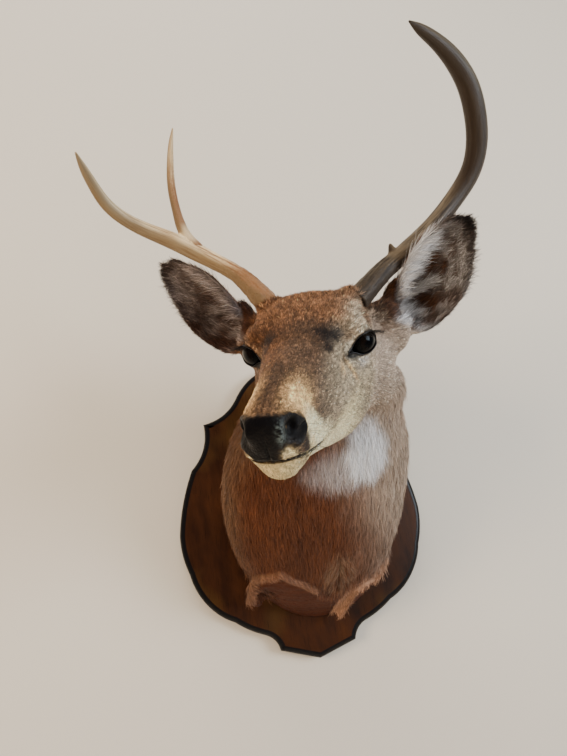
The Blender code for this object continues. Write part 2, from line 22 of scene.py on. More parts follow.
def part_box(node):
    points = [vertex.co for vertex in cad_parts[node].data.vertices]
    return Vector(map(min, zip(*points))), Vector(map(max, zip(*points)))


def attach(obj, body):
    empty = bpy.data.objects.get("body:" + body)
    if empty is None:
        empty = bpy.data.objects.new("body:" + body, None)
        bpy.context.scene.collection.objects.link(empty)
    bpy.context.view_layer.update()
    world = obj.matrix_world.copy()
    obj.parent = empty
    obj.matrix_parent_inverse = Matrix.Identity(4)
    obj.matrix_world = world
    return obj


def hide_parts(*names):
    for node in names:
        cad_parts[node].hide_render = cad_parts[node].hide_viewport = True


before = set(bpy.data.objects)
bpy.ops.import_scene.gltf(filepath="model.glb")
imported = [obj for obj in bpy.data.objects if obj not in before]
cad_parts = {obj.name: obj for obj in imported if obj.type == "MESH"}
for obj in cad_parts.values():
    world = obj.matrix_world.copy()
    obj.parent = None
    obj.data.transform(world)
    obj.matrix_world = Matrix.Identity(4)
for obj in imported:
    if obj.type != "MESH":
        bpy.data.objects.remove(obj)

Array = np.ndarray
Triple = tuple[float, float, float]
log = logging.getLogger("deer_mount")

MM = 0.001
BOARD_FRONT = -0.0224
SINK = 0.0003
BODY = "root"
SIDES = {"left": 1.0, "right": -1.0}
FLESH_NODES = ("head", "neck", "chest", "ear_left", "ear_right")
BAKE_MAP = "OFBake"
BAKE_PATCH = 0.003
COAT_COLOUR = "coat"
BARE_MASK = "bare"


# --- numbers ---------------------------------------------------------------------------
def smooth(low: float, high: float, values: Array) -> Array:
    """Smooth steps from 0 at low to 1 at high, where low may be the larger."""
    part = np.clip((np.asarray(values, float) - low) / (high - low), 0.0, 1.0)
    return part * part * (3.0 - 2.0 * part)


def hill(*slopes: tuple[Array, float, float]) -> Array:
    """A soft bump of height 1, each slope of which has its values, their middle and their spread."""
    return np.exp(-sum(((values - middle) / spread) ** 2 for values, middle, spread in slopes))


def held(values: Array, top: float = 1.0) -> Array:
    """Values kept from 0 to a top."""
    return np.clip(values, 0, top)


def columns(*parts: Array | float) -> Array:
    """Rows made of columns, any of which may be one number."""
    return np.stack(np.broadcast_arrays(*parts), axis=-1)


def in_metres(*rows: Sequence[float]) -> Array:
    """Rows given in mm, in metres."""
    return np.array(rows) / 1000.0


def blend(first: Array, second: Array, weight: Array) -> Array:
    """The mix of two arrays of rows, or of a row and an array, by a weight for each row."""
    weight = np.asarray(weight)[:, None]
    return first * (1.0 - weight) + second * weight


def painted(colours: Array, *layers: tuple[Array, Array]) -> Array:
    """Colours under layers.

    Args:
        colours: Rows of colours, or one colour.
        layers: The colour and the weight of each layer, from the lowest up.

    Returns:
        Rows of colours.
    """
    for colour, weight in layers:
        colours = blend(colours, colour, weight)
    return colours


def unit(rows: Array) -> Array:
    """Rows scaled to length 1."""
    return rows / np.maximum(np.linalg.norm(rows, axis=-1, keepdims=True), 1e-12)


def noise(places: Array, seed: int) -> Array:
    """Smooth value noise.

    Args:
        places: Rows of three coordinates, counted in cells of the noise.
        seed: Number of the pattern.

    Returns:
        One value from -1 to 1 for each row.
    """
    cell = np.floor(places).astype(np.int64)
    part = places - cell
    part = part * part * (3.0 - 2.0 * part)
    total = np.zeros(len(places))
    for corner in np.ndindex(2, 2, 2):
        step = np.array(corner)
        key = (cell + step).astype(np.uint64) * np.array([73856093, 19349663, 83492791], np.uint64)
        code = key[:, 0] ^ key[:, 1] ^ key[:, 2] ^ np.uint64(seed * 2654435761)
        for _ in range(2):
            code = (code ^ (code >> np.uint64(16))) * np.uint64(73244475)
        value = (code >> np.uint64(8) & np.uint64(0xFFFF)).astype(float) / 32767.5 - 1.0
        total += value * np.prod(np.where(step == 1, part, 1.0 - part), axis=1)
    return total


def layered(places: Array, seed: int, layers: int = 3) -> Array:
    """Noise summed over layers, each twice as fine and half as strong as the last."""
    return sum(noise(places * 2**i, seed + i) / 2**i for i in range(layers)) / (2 - 0.5 ** (layers - 1))


def tone(red: int, green: int, blue: int) -> Array:
    """A colour given as on a screen, from 0 to 255, as linear light."""
    value = np.array([red, green, blue]) / 255.0
    return np.where(value <= 0.04045, value / 12.92, ((value + 0.055) / 1.055) ** 2.4)


# --- the head's frame ------------------------------------------------------------------
@dataclass(frozen=True)
class HeadPose:
    """Where the head stands, from its three turns and the middle between the two eyes."""

    turn: float = 24.8
    drop: float = 37.9
    roll: float = 6.9
    between_eyes: Triple = (0.0, 206.0, -32.0)

    @property
    def axes(self) -> Array:
        """The head's three axes as the columns of a matrix."""
        made = Matrix.Identity(3)
        for axis, degrees in (("Z", -self.turn), ("X", self.drop), ("Y", self.roll)):
            made = made @ Matrix.Rotation(math.radians(degrees), 3, axis)
        return np.array(made)

    @property
    def nose(self) -> Array:
        """The origin of the head's frame in the object's frame, in metres."""
        corners = [np.array(corner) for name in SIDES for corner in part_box(f"eye_{name}")]
        return sum(corners) / len(corners) - self.axes @ np.array(self.between_eyes) * MM

    def to_head(self, places: Array) -> Array:
        """Places in the head's frame, in mm."""
        return (places - self.nose) @ self.axes / MM

    def from_head(self, places: Array) -> Array:
        """Places given in the head's frame, in the object's frame in metres."""
        return self.nose + np.asarray(places) * MM @ self.axes.T

    def turned(self, directions: Array) -> Array:
        """Directions given in the head's frame, in the object's frame."""
        return np.asarray(directions) @ self.axes.T

    @staticmethod
    def sides(head: Array) -> Array:
        """1 for each place on the deer's left and -1 on its right."""
        return np.where(head[:, 0] < 0, -1.0, 1.0)

    @staticmethod
    def mirrored(rows: Array, side: Array) -> Array:
        """Rows with x turned over where the side is -1."""
        return np.concatenate([rows[:, :1] * side[:, None], rows[:, 1:]], axis=1)


@dataclass(frozen=True)
class EyeSet:
    """The left eye in the head's frame, and the opening between its lids.

    The opening is drawn on axes through the middle of the eye: along from the front corner to
    the rear one, up across the lids, and out.
    """

    radius: float = 16.5
    middle: Triple = (54.0, 206.0, -32.0)
    outward: Triple = (0.77, -0.62, 0.05)
    slit: Triple = (0.62, 0.77, 0.10)
    front: float = -25.0
    rear: float = 13.0
    upper: float = 11.0
    lower: float = 9.2

    @property
    def axes(self) -> Array:
        """Rows along, up and out."""
        out = unit(np.array(self.outward))
        along = np.array(self.slit)
        along = unit(along - out * (along @ out))
        return np.stack([along, np.cross(out, along), out])

    def coordinates(self, mirrored: Array) -> Array:
        """Places of the mirrored head as (along, up, out) from the middle of the eye."""
        return (mirrored - np.array(self.middle)) @ self.axes.T

    def standing(self, side: float) -> tuple[Array, Array]:
        """Middle and axes of the eye of one side, in the object's frame."""
        flip = np.array([side, 1.0, 1.0])
        return POSE.from_head(np.array(self.middle) * flip), POSE.turned(self.axes * flip)

    def edges(self, along: Array) -> tuple[Array, Array]:
        """Heights of the upper and the lower lid's edge at places along the opening."""
        middle = (self.front + self.rear) / 2
        arch = np.clip(1 - ((along - middle) / (self.rear - middle)) ** 2, 0, None)
        body = smooth(self.front + 3, self.front + 17, along)
        upper = self.upper * arch**0.45 * (0.16 + 0.84 * body) + 0.06 * along * body
        lower = -self.lower * arch**0.55 * (0.10 + 0.90 * body) + 0.05 * along
        return upper, lower

    def outside(self, along: Array, up: Array) -> Array:
        """Distance outside the edge of the opening, negative inside it."""
        upper, lower = self.edges(along)
        across = np.maximum(up - upper, lower - up)
        beyond = np.maximum(np.maximum(along - self.rear, self.front - along), 0)
        return np.where(beyond > 0, np.hypot(np.maximum(across, 0), beyond), across)

    def on_hide(self, skin: BVHTree, along: float, up: float, side: float) -> Array | None:
        """The place on the hide over a place of the opening, or None where there is no hide."""
        middle, axes = self.standing(side)
        start = middle + (axes[0] * along + axes[1] * up + axes[2] * 45) * MM
        hit = skin.ray_cast(Vector(start), Vector(-axes[2]))[0]
        return None if hit is None else np.array(hit)


@dataclass(frozen=True)
class EarPlan:
    """Flat axes of the left ear in the head's frame, and its outline along its length."""

    root: Triple = (76.0, 294.0, -50.0)
    along: Triple = (0.634, 0.035, 0.773)
    across: Triple = (0.755, 0.191, -0.627)
    length: float = 143.0
    stations: tuple = (0, 10, 26, 50, 78, 109, 130, 143)
    middle: tuple = (10, 12, 24, 25, 20, 9, 2, -1)
    half: tuple = (12, 16, 24, 35, 38, 30, 16, 5)

    @property
    def facing(self) -> Array:
        """The way the hollow of the ear faces."""
        return unit(np.cross(np.array(self.across), np.array(self.along)))

    def coordinates(self, mirrored: Array) -> tuple[Array, Array, Array]:
        """How far along the ear (0 to 1), across it (-1 front edge, 1 rear edge) and before it."""
        offset = mirrored - np.array(self.root)
        along = offset @ np.array(self.along)
        middle = np.interp(along, self.stations, self.middle)
        half = np.interp(along, self.stations, self.half)
        return along / self.length, (offset @ np.array(self.across) - middle) / half, offset @ self.facing


POSE = HeadPose()
EYE = EyeSet()
EAR = EarPlan()
BRISKET_EDGE = in_metres((-94, -80, -126), (-92, -100, -110), (-88, -118, -98), (-74, -136, -95),
                         (-56, -149, -94), (-42, -144, -103), (-24, -136, -112), (-3, -118, -126),
                         (16, -106, -134))
FLAP_EDGE = in_metres((31, -40, -168), (38, -61, -153), (43, -84, -140), (51, -104, -128),
                      (62, -105, -123), (77, -98, -121), (86, -100, -113), (95, -88, -100))
FLAP_FOLD = in_metres((18, -118, -125), (38, -130, -115), (54, -133, -108), (68, -138, -98),
                      (80, -134, -92))
THROAT_PLACE = np.array([0.012, -0.238, 0.130])
THROAT_AHEAD = unit(np.array([-0.20, -0.93, 0.30]))


def distance(places: Array, line: Array) -> tuple[Array, Array]:
    """How far places lie from a line through points.

    Args:
        places: Rows of places.
        line: Rows of the line's points.

    Returns:
        The distance of each place, and its offset from the nearest point of the line.
    """
    nearest, offset = np.full(len(places), 1e9), np.zeros_like(places)
    for start, end in zip(line, line[1:]):
        side = end - start
        part = np.clip((places - start) @ side / (side @ side), 0, 1)
        away = places - start - part[:, None] * side
        reach = np.linalg.norm(away, axis=1)
        closer = reach < nearest
        nearest, offset = np.where(closer, reach, nearest), np.where(closer[:, None], away, offset)
    return nearest, offset


# --- what the coat knows of a place ----------------------------------------------------
class Spots:
    """Places on the hide, in m, with the regions of the animal that each belongs to."""

    def __init__(self, place: Array, normal: Array) -> None:
        """Find the regions of the places.

        Args:
            place: Rows of places.
            normal: The hide's normal at each.
        """
        self.place, self.normal = place, normal
        self.head = POSE.to_head(place)
        self.side = POSE.sides(self.head)
        self.right = self.side < 0
        self.mirrored = POSE.mirrored(self.head, self.side)
        self.facing = POSE.mirrored(unit(normal @ POSE.axes), self.side)
        self.headness = smooth(-0.010, 0.022, (place - THROAT_PLACE) @ THROAT_AHEAD)
        self.ear_along, self.ear_across, before = EAR.coordinates(self.mirrored)
        wide, back = self.mirrored[:, 0], self.head[:, 1]
        anywhere_on_head = self.headness**0.01
        self.earness = (smooth(0.03, 0.16, self.ear_along) * smooth(70, 84, wide)
                        * smooth(58, 44, np.abs(before + 12)) * anywhere_on_head * smooth(400, 370, back))
        self.ear_inside = smooth(-0.05, 0.25, self.facing @ EAR.facing)
        self.eye = EYE.coordinates(self.mirrored)
        along, up, out = self.eye.T
        self.lid = np.where(out > -4, EYE.outside(along, up), 60.0)
        self.find_brisket()

    def find_brisket(self) -> None:
        """Find the rolled edge of the hide at the brisket, the flap beside it and the bare underside."""
        x, _, z = self.place.T
        edge, offset = distance(self.place, BRISKET_EDGE)
        flap, beyond = distance(self.place, FLAP_EDGE)
        fold, _ = distance(self.place, FLAP_FOLD)
        low = smooth(-0.060, -0.080, z)
        below = smooth(0.0, 0.004, offset @ np.array([0.0, 0.72, -0.70])) * smooth(0.040, 0.012, x)
        outer = smooth(-0.001, 0.004, beyond @ np.array([0.25, 0.62, -0.74])) * smooth(0.012, 0.030, x)
        self.flap = smooth(0.018, 0.012, flap) * smooth(0.016, 0.024, x) * (1 - outer) * low
        self.fold = smooth(0.006, 0.001, fold) * low
        self.under = held(np.maximum(below, outer) - self.flap) * low
        self.lip = hill((edge, 0, 0.0055)) * smooth(-0.003, -0.012, x) * low
        self.flap_rim = hill((flap, 0, 0.0035)) * smooth(0.016, 0.026, x) * low

    def near(self, middle: Triple, spread: Triple | float, sided: bool = True) -> Array:
        """A soft spot of the head about a place, with its spread along x, s and z."""
        where = self.mirrored if sided else self.head
        return np.exp(-(((where - np.array(middle)) / np.array(spread)) ** 2).sum(1))

    def by_side(self, left: float, right: float) -> Array:
        """One number on the deer's left and another on its right."""
        return np.where(self.right, right, left)

    def region(self, body: float, face: float, crown: float, jaw: float, ear: float) -> Array:
        """One value for each place from values for the main regions."""
        _, s, z = self.mirrored.T
        crowned = smooth(165, 215, s) * smooth(-45, -15, z)
        jawed = smooth(110, 170, s) * smooth(-60, -100, z)
        value = face + (crown - face) * crowned + (jaw - face) * jawed
        value = body + (value - body) * self.headness
        return value + (ear - value) * self.earness

    @cached_property
    def ear_hair(self) -> tuple[Array, Array, Array]:
        """The white fringe, the white streak from the root, and the silver wisps inside an ear."""
        u, v = self.ear_along, self.ear_across
        ragged = 0.12 * noise(columns(u * 30, v * 6, self.side), 67)
        fringe = (smooth(-1.25, -1.05, v) * smooth(-0.38, -0.72, v + ragged)
                  * smooth(0.20, 0.32, u) * smooth(0.86, 0.70, u))
        slant = v + 0.36 - 1.7 * (u - 0.2) + ragged
        second = hill((slant, 0, 0.15)) * smooth(0.52, 0.42, u)
        root = smooth(0.24, 0.13, u + 0.5 * ragged) * smooth(0.95, 0.5, v) * smooth(-0.5, -0.2, v)
        wisps = layered(columns(v * 9 + 9 * u, u * 8 - v * 3, self.side), 61, 2)
        silver = (smooth(-0.25, 0.5, wisps) * smooth(0.25, 0.55, v)
                  * smooth(0.22, 0.32, u) * smooth(0.88, 0.78, u))
        upper = smooth(-0.3, 0.4, wisps) * smooth(0.64, 0.72, u + 0.1 * v) * smooth(0.95, 0.88, u)
        low = smooth(-0.1, 0.5, wisps) * smooth(0.30, 0.20, u) * smooth(0.6, 0.8, v)
        return fringe, np.maximum(second, root), held(silver + upper + low)

    @cached_property
    def bare_nose(self) -> Array:
        """1 on the hairless pad of the nose."""
        x, s, z = self.mirrored.T
        near = self.near
        reach = 8 + 13 * smooth(6, 24, x) - 5 * smooth(-34, -46, z)
        top = -4.5 - 3.5 * smooth(4, 22, x)
        bottom = -44.5 + 9 * smooth(6, 22, x)
        pad = (smooth(reach + 2.5, reach - 2.5, s) * smooth(top + 3, top - 3, z)
               * smooth(bottom - 1.5, bottom + 1.5, z))
        pit = (near((19, 18, -21), (6, 15, 9)) + near((24, 24, -28), (6, 11, 6))
               + near((14, 27, -21), (7, 9, 8)))
        patch = held(1.5 * near((14, 6, -39), (5, 7, 5.5), sided=False))
        return held(pad + smooth(0.3, 0.7, pit) * smooth(44, 36, s)) * (1 - patch)

    @cached_property
    def lips(self) -> Array:
        """1 along the dark line between the lips."""
        _, s, z = self.mirrored.T
        line = hill((z - Hide.mouth_height(s), 0, 1.7 + 0.9 * smooth(30, 60, s)))
        return line * smooth(100, 84, s) * self.headness

    @cached_property
    def throat(self) -> Array:
        """1 on the white bib under the jaw, fading down and to the right."""
        across, up = (self.place - np.array([0.055, 0.0, 0.042]))[:, [0, 2]].T
        ragged = 0.16 * noise(self.place * 90, 63)
        core = np.hypot((across - 0.002) / 0.028, up / np.where(up > 0, 0.038, 0.026)) + ragged
        tail = np.hypot((across + 0.034) / 0.044, (up + 0.016) / 0.024) + ragged
        patch = held(smooth(1.3, 0.6, core) + 0.42 * smooth(1.3, 0.3, tail))
        return patch * (1 - self.headness) * smooth(-0.16, -0.2, self.place[:, 1])

    @cached_property
    def whorl(self) -> Array:
        """1 on the long pale hair in the middle of the brisket."""
        across, up = (self.place - np.array([0.022, 0.0, -0.098]))[:, [0, 2]].T
        front = smooth(-0.08, -0.11, self.place[:, 1])
        return smooth(1.2, 0.3, np.hypot(across / 0.026, up / 0.030)) * front * (1 - self.under)


# --- the coat --------------------------------------------------------------------------
class Tones:
    """Colours of the hair and the bare skin."""

    grizzle = tone(96, 71, 51)
    pale = tone(180, 162, 134)
    rufous = tone(126, 80, 48)
    crown = tone(130, 90, 60)
    neck = tone(106, 60, 34)
    neck_grey = tone(188, 166, 146)
    flank = tone(118, 88, 64)
    nape = tone(92, 60, 40)
    brisket = tone(100, 60, 38)
    cream = tone(232, 208, 156)
    white = tone(244, 242, 242)
    ring = tone(200, 184, 158)
    tan = tone(250, 200, 138)
    lime = tone(255, 238, 192)
    duct = tone(52, 54, 54)
    dark = tone(44, 30, 22)
    soot = tone(15, 11, 11)
    # painted highlight: the grey-blue sheen of wet nose skin
    wet_highlight = tone(112, 122, 118)
    ear_hollow = tone(99, 88, 83)
    ear_brown = tone(78, 48, 28)
    silver = tone(190, 186, 184)
    hide = tone(80, 40, 21)
    lip = tone(196, 148, 116)


class Pelt(Spots):
    """Spots that know how deep, long, upright and wide their hair is, how it lies, and its colour."""

    def depth(self) -> Array:
        """Depth of the coat over the skin, in mm."""
        value = self.region(body=4.5, face=1.6, crown=3.2, jaw=2.6, ear=1.3)
        value = value * (1 - self.bare_nose)
        value = value + (0.5 - value) * (smooth(12, 1, self.lid) * self.headness)
        value = value + (1.0 - value) * self.near((14, 6, -46), (16, 16, 7))
        return value * (1 - 0.9 * held(self.under + self.lip + self.flap_rim))

    @cached_property
    def length(self) -> Array:
        """Length of the hair, in mm."""
        value = self.region(body=15.0, face=3.5, crown=7.6, jaw=5.2, ear=7.5)
        value = value * (1 - 0.35 * self.headness * smooth(70, 20, self.mirrored[:, 1]))
        value = value + 6 * self.throat + 2 * self.whorl
        value = value * (1 - 0.45 * smooth(10, 1, self.lid) * self.headness)
        fringe, second, silver = self.ear_hair
        value = value + self.earness * self.ear_inside * (13 * fringe + 14 * second + 4 * silver)
        rolled = held(self.under + 0.9 * self.lip + 0.8 * self.flap_rim + 0.5 * self.flap)
        return np.maximum(value + (3.4 - value) * rolled, 2.4)

    def lift(self) -> Array:
        """Angle between the hair and the hide, in radians."""
        value = self.region(body=0.27, face=0.28, crown=0.46, jaw=0.28, ear=0.30)
        return value * (1 - 0.5 * held(self.under + self.lip + self.flap_rim)) + 0.12 * self.whorl

    def width(self) -> Array:
        """Width of a tuft, in mm."""
        return self.region(body=0.76, face=0.60, crown=0.62, jaw=0.60, ear=0.55)

    def flow(self) -> Array:
        """The way the hair lies, as directions along the hide."""
        place = self.place
        swirl = layered(place * 30, 35)
        sway = layered(place * np.array([38, 38, 14]), 31)
        lie = blend(self.body_flow(sway, swirl), self.head_flow(sway, swirl), self.headness)
        fan = np.array(EAR.along) + self.ear_across[:, None] * 0.30 * np.array(EAR.across)
        inner = self.ear_inside * smooth(0.9, -0.9, self.ear_across)
        curl = 0.5 * noise(place * 130, 47) * self.ear_inside
        fan = POSE.mirrored(fan + (1.0 * inner + curl)[:, None] * np.array(EAR.across), self.side)
        lie = blend(lie, unit(POSE.turned(fan)), smooth(0.2, 0.8, self.earness))
        lie = lie + 0.10 * columns(*(noise(place * 120, seed) for seed in (41, 42, 43)))
        return unit(lie - self.normal * (lie * self.normal).sum(1)[:, None])

    def body_flow(self, sway: Array, swirl: Array) -> Array:
        """The way the hair of neck and chest lies, with slow waves to either side and round."""
        x, _, z = self.place.T
        down = unit(columns(0.22 * sway - 1.6 * x * smooth(0.0, -0.1, z), 0.55 + 0.1 * swirl, -1.0))
        flat = unit(columns(0.9, 0.2 * swirl, -0.25 + 0.2 * swirl))
        parted = columns(np.sign(x - 0.022) * 0.9, 0.0, -0.6)
        return painted(down, (flat, held(self.under + self.lip)),
                       (np.array([-0.65, 0.1, -0.75]), self.flap_rim), (parted, 0.35 * self.whorl))

    def head_flow(self, sway: Array, swirl: Array) -> Array:
        """The way the hair of the head lies: back from the nose, and away from the eye."""
        x, s, z = self.head.T
        along, up, _ = self.eye.T
        rear = smooth(150, 230, s)
        chin = smooth(60, 10, s) * smooth(-48, -62, z)
        back = unit(columns(0.10 * x / 40 + 0.25 * swirl * rear, 1.0,
                            -0.10 - 0.5 * smooth(-40, -110, z) + 0.22 * sway * rear - 0.9 * chin))
        away = (along / 18)[:, None] * EYE.axes[0] + (up / 12)[:, None] * EYE.axes[1]
        away = POSE.mirrored(away, self.side)
        near_eye = smooth(15, 2, self.lid) * self.headness
        return unit(POSE.turned(blend(back, unit(away + 0.35 * back), 0.75 * near_eye)))

    @cached_property
    def colour(self) -> Array:
        """Colour of the coat, and of the skin where it is bare."""
        return np.clip(painted(self.body_colour(), (self.face_colour(), self.headness),
                               (self.ear_colour(), smooth(0.25, 0.75, self.earness))), 0.002, 1)

    def body_colour(self) -> Array:
        """Colour of neck, chest and brisket."""
        place, normal = self.place, self.normal
        x, y, z = place.T
        mottle = layered(place * 60, 51)
        streak = layered(place * np.array([330, 330, 80]), 55)
        broad = layered(place * np.array([45, 45, 14]), 57)
        # paler, greyer neck towards the deer's left and upward: partly the hair's own colour, partly painted
        # window light
        paler_and_lit = smooth(-0.01, 0.090, x + 0.012 * broad + 0.25 * (z - 0.05))
        colour = painted(Tones.neck, (Tones.neck_grey, paler_and_lit),
                         (Tones.flank, smooth(-0.45, -0.95, normal[:, 0]) * 0.8),
                         (Tones.nape, smooth(0.25, 0.75, normal[:, 2])),
                         (Tones.brisket, smooth(0.0, -0.09, z) * 0.5))
        # a darker line down the front of the neck
        dark_line = hill((x + 0.028 + 0.004 * mottle, 0, 0.006)) * smooth(-0.13, -0.16, y)
        tone_and_sheen = (0.34 - 0.12 * paler_and_lit) * streak + 0.14 * broad + 0.10 * mottle - 0.25 * dark_line
        grain = layered(place * np.array([30, 160, 160]), 59)
        rolled = held(1.1 * self.lip + 0.9 * self.flap_rim)
        return painted(colour * np.exp(tone_and_sheen)[:, None],
                       (Tones.white, self.throat * smooth(-0.9, 0.1, streak + 1.4 * self.throat)),
                       (Tones.pale, self.whorl * smooth(-0.3, 0.4, streak) * 0.35),
                       (Tones.hide * np.exp(0.30 * grain)[:, None], self.under),
                       (Tones.lip * np.exp(0.2 * streak)[:, None], self.flap * 0.85),
                       (Tones.lip * np.exp(0.25 * broad)[:, None], rolled * (0.5 + 0.2 * self.flap_rim)),
                       # painted shade along the carved fold above the flap
                       (Tones.hide * 0.8, self.fold * 0.5))

    def face_colour(self) -> Array:
        """Colour of the head."""
        x, s, z = self.mirrored.T
        wide, place, near = self.head[:, 0], self.place, self.near
        upward = self.normal[:, 2]
        mottle = layered(place * 60, 51)
        crowned = smooth(168, 200, s + 8 * mottle) * smooth(-42, -16, z)
        behind = smooth(196, 236, s) * smooth(-12, -48, z) * smooth(0, 20, wide)
        bridge = smooth(14, 4, x) * smooth(8, 26, s) * smooth(110, 60, s) * smooth(-14, -5, z)
        between_brows = smooth(44, 22, np.abs(wide - 2)) * hill((s, 165, 30)) * smooth(-22, -8, z)
        tan = hill((x, 22, 9)) * hill((s, 38, 28)) * smooth(-42, -16, z)
        over_lip = z - Hide.mouth_height(s) - 22 * hill((s, 50, 20))
        band = smooth(24, 34, s) * smooth(112, 84, s) * smooth(26, 8, over_lip)
        jaw = smooth(-72, -92, z - 0.16 * (s - 80)) * smooth(200, 130, s)
        chin = smooth(-45, -49, z) * smooth(60, 40, s)
        patchy = 1.7 * (0.7 + 0.5 * layered(place * 150, 70)) * self.by_side(1.0, 0.75)
        patches = (((38, 175, -9), (13, 12, 10)), ((27, 164, -5), (12, 11, 9)), ((31, 151, -13), (8, 10, 7)))
        brow_patches = [(Tones.dark * 0.55, held(patchy * near(*patch), 0.95)) for patch in patches]
        brow = near((55, 214, -2), (11, 30, 9)) + 0.7 * near((52, 190, -10), (13, 13, 5))
        temple = near((80, 277, -30), (14, 26, 20))
        temple = temple * smooth(-0.5, 0.3, layered(columns(x * 0.30, s * 0.12, z * 0.30), 78))
        wing = near((26, 24, -33), (6, 9, 8)) + 0.7 * near((20, 20, -8), (7, 9, 4))
        face = painted(
            Tones.grizzle,
            (Tones.pale, smooth(22, 42, wide) * smooth(50, 80, s) * 0.85),
            # redder on the deer's right: partly the hair's own colour, partly painted warm lamp light
            (Tones.rufous, smooth(10, -40, wide) * smooth(50, 110, s) * 0.8),
            (Tones.flank, smooth(0.55, 0.95, self.facing[:, 0]) * smooth(0, -20, wide) * 0.8),
            (Tones.crown, crowned * 0.9),
            (Tones.neck_grey, behind * 0.95),
            (Tones.nape, smooth(0.25, 0.75, upward) * smooth(240, 285, s) * 0.9),
            (Tones.dark, crowned * smooth(0.15, 0.6, layered(place * 130, 68)) * 0.45),
            (Tones.dark, bridge * (0.45 + 0.2 * mottle)),
            (Tones.dark, between_brows * 0.22),
            (Tones.tan, held(tan * 1.8) * 0.95),
            (Tones.lime, band * 0.95),
            (Tones.cream, jaw * 0.8),
            # painted light: the down-facing underside of the jaw made paler, as if lit from below
            (Tones.lime, jaw * smooth(-0.15, -0.6, upward) * 0.95),
            (Tones.cream, chin),
            (Tones.dark, held(1.3 * near((24, 25, -43), (7, 10, 7))) * 0.9),
            (Tones.dark, near((22, 28, -57), (6, 9, 8)) * 0.85),
            (Tones.cream, held(1.4 * near((14, 6, -38), (5, 6, 5.5)))),
            *self.duct_layers(), *brow_patches, *self.lid_layers(),
            (Tones.ring, held(brow) * 0.8 * (wide > 0)),
            (Tones.tan, near((42, 154, -38), (3.5, 10, 6)) * 0.7),
            (Tones.grizzle, near((96, 280, -52), 20.0) * self.right * 0.85),
            (Tones.ear_brown, held(1.2 * temple, 0.75)),
            (Tones.soot, held(wing) * 0.85))
        strength = 1.5 - 0.9 * held(jaw + 0.6 * band + 0.6 * tan + behind + chin)
        ticks, curls = layered(place * 620, 65, 2), layered(place * 300, 66, 2)
        shaded = 0.30 * smooth(-18, -40, wide) * hill((s, 188, 30))
        # painted highlight: a wet sheen beside the left nostril
        tone_and_sheen = near((12, 3, -20), (2.8, 7, 8), sided=False) * smooth(-0.4, 0.5, layered(place * 650, 76))
        return painted(face * np.exp(strength * ticks + crowned * 1.1 * curls + 0.12 * mottle - 0.12
                                     - shaded)[:, None],
                       (Tones.soot, smooth(3.2, 1.0, self.lid)), (Tones.soot * 0.6, self.bare_nose),
                       (Tones.wet_highlight, held(1.3 * tone_and_sheen, 0.7)))

    def duct_layers(self) -> list[tuple[Array, Array]]:
        """The dark tear duct before the eye, as layers of colour."""
        along, up, out = self.eye.T
        duct = held(1.3 * hill((along, -30, 9), (up, -3, 5)))
        return [(Tones.dark, duct * 0.8 * smooth(-12, 0, out + 8))]

    def lid_layers(self) -> list[tuple[Array, Array]]:
        """What lies round the eye, as layers of colour: pale ring, shade, wrinkled bag and tear line."""
        along, up, out = self.eye.T
        seen = self.by_side(1.0, 0.2)
        before = smooth(-14, -4, out)
        ring = hill((self.lid, 5.0, 4.5)) * smooth(-8, 0, out + 10) * smooth(-34, -24, along)
        shadowed = hill((along, -17, 12), (up + 9 + 0.2 * along, 0, 4.5)) * before
        wrinkle = 0.75 + 0.35 * np.sin(0.9 * along + 0.9 * up)
        bag = hill((along, -6, 10), (up, -17, 6)) * before * seen
        tear = hill((along + 33 + 0.15 * up, 0, 2.6), (up, -17, 10)) * before * seen
        return [(Tones.ring, held(1.1 * ring) * 0.8 * seen), (Tones.duct, held(1.5 * shadowed, 0.95)),
                (Tones.white, held(bag * wrinkle) * 0.55), (Tones.tan * 0.8, held(1.3 * tear, 0.85))]

    def ear_colour(self) -> Array:
        """Colour of the ears, rufous behind and streaked with white inside."""
        u, v, sided = self.ear_along, self.ear_across, self.by_side
        ragged = 0.10 * noise(columns(u * 20, v * 7, self.side), 62)
        hollows = (((u, 0.57, 0.15), (v, -0.26, 0.26)), ((u, 0.64, 0.09), (v, 0.30, 0.16)),
                   ((u, 0.25, 0.13), (v, 0.48, 0.44)))
        fringe, second, silver = self.ear_hair
        rim = smooth(0.84, 1.02, np.abs(v) + ragged) * smooth(-0.2, 0.5, v)
        margin = smooth(0.66, 0.92, v + ragged) * smooth(0.80, 0.5, u) * self.right
        browned = [(Tones.ear_brown, held(1.35 * hill(*hollow)) * sided(1.0, 0.30)) for hollow in hollows]
        inner = painted(Tones.ear_hollow, *browned,
                        # the right ear's silver and white are painted fainter, as shade
                        (Tones.silver, silver * sided(0.75, 0.5)),
                        (Tones.white, held(fringe + second) * sided(0.85, 0.35)),
                        (Tones.ear_brown * 0.8, margin * 0.8),
                        (Tones.dark, rim * (0.45 + 0.4 * smooth(0.5, 0.8, u)) * sided(1.0, 0.6)),
                        (Tones.soot, smooth(0.88, 0.98, u + ragged) * sided(0.9, 0.35)))
        web = smooth(-1.02, -1.2, v) * smooth(0.75, 0.6, u)
        outer = painted(Tones.rufous * 0.8, (Tones.dark, smooth(0.6, 0.95, u)),
                        (Tones.dark, web * sided(0.8 * smooth(0.34, 0.08, u), 0.75)))
        ear = painted(outer, (inner, self.ear_inside * (1 - web)),
                      (Tones.white, self.near((109, 300, -64), (13, 12, 9)) * sided(0.9, 0.2)),
                      (Tones.grizzle, self.near((104, 292, -58), 14.0) * self.right * 0.8))
        streak = layered(self.place * np.array([300, 300, 120]), 69)
        # painted shade: the right ear darker and warmer than the left
        right_ear_shade = np.where(self.right[:, None], np.array([0.86, 0.75, 0.70]), 1.0)
        return ear * np.exp(sided(0.20, 0.13) * streak)[:, None] * right_ear_shade


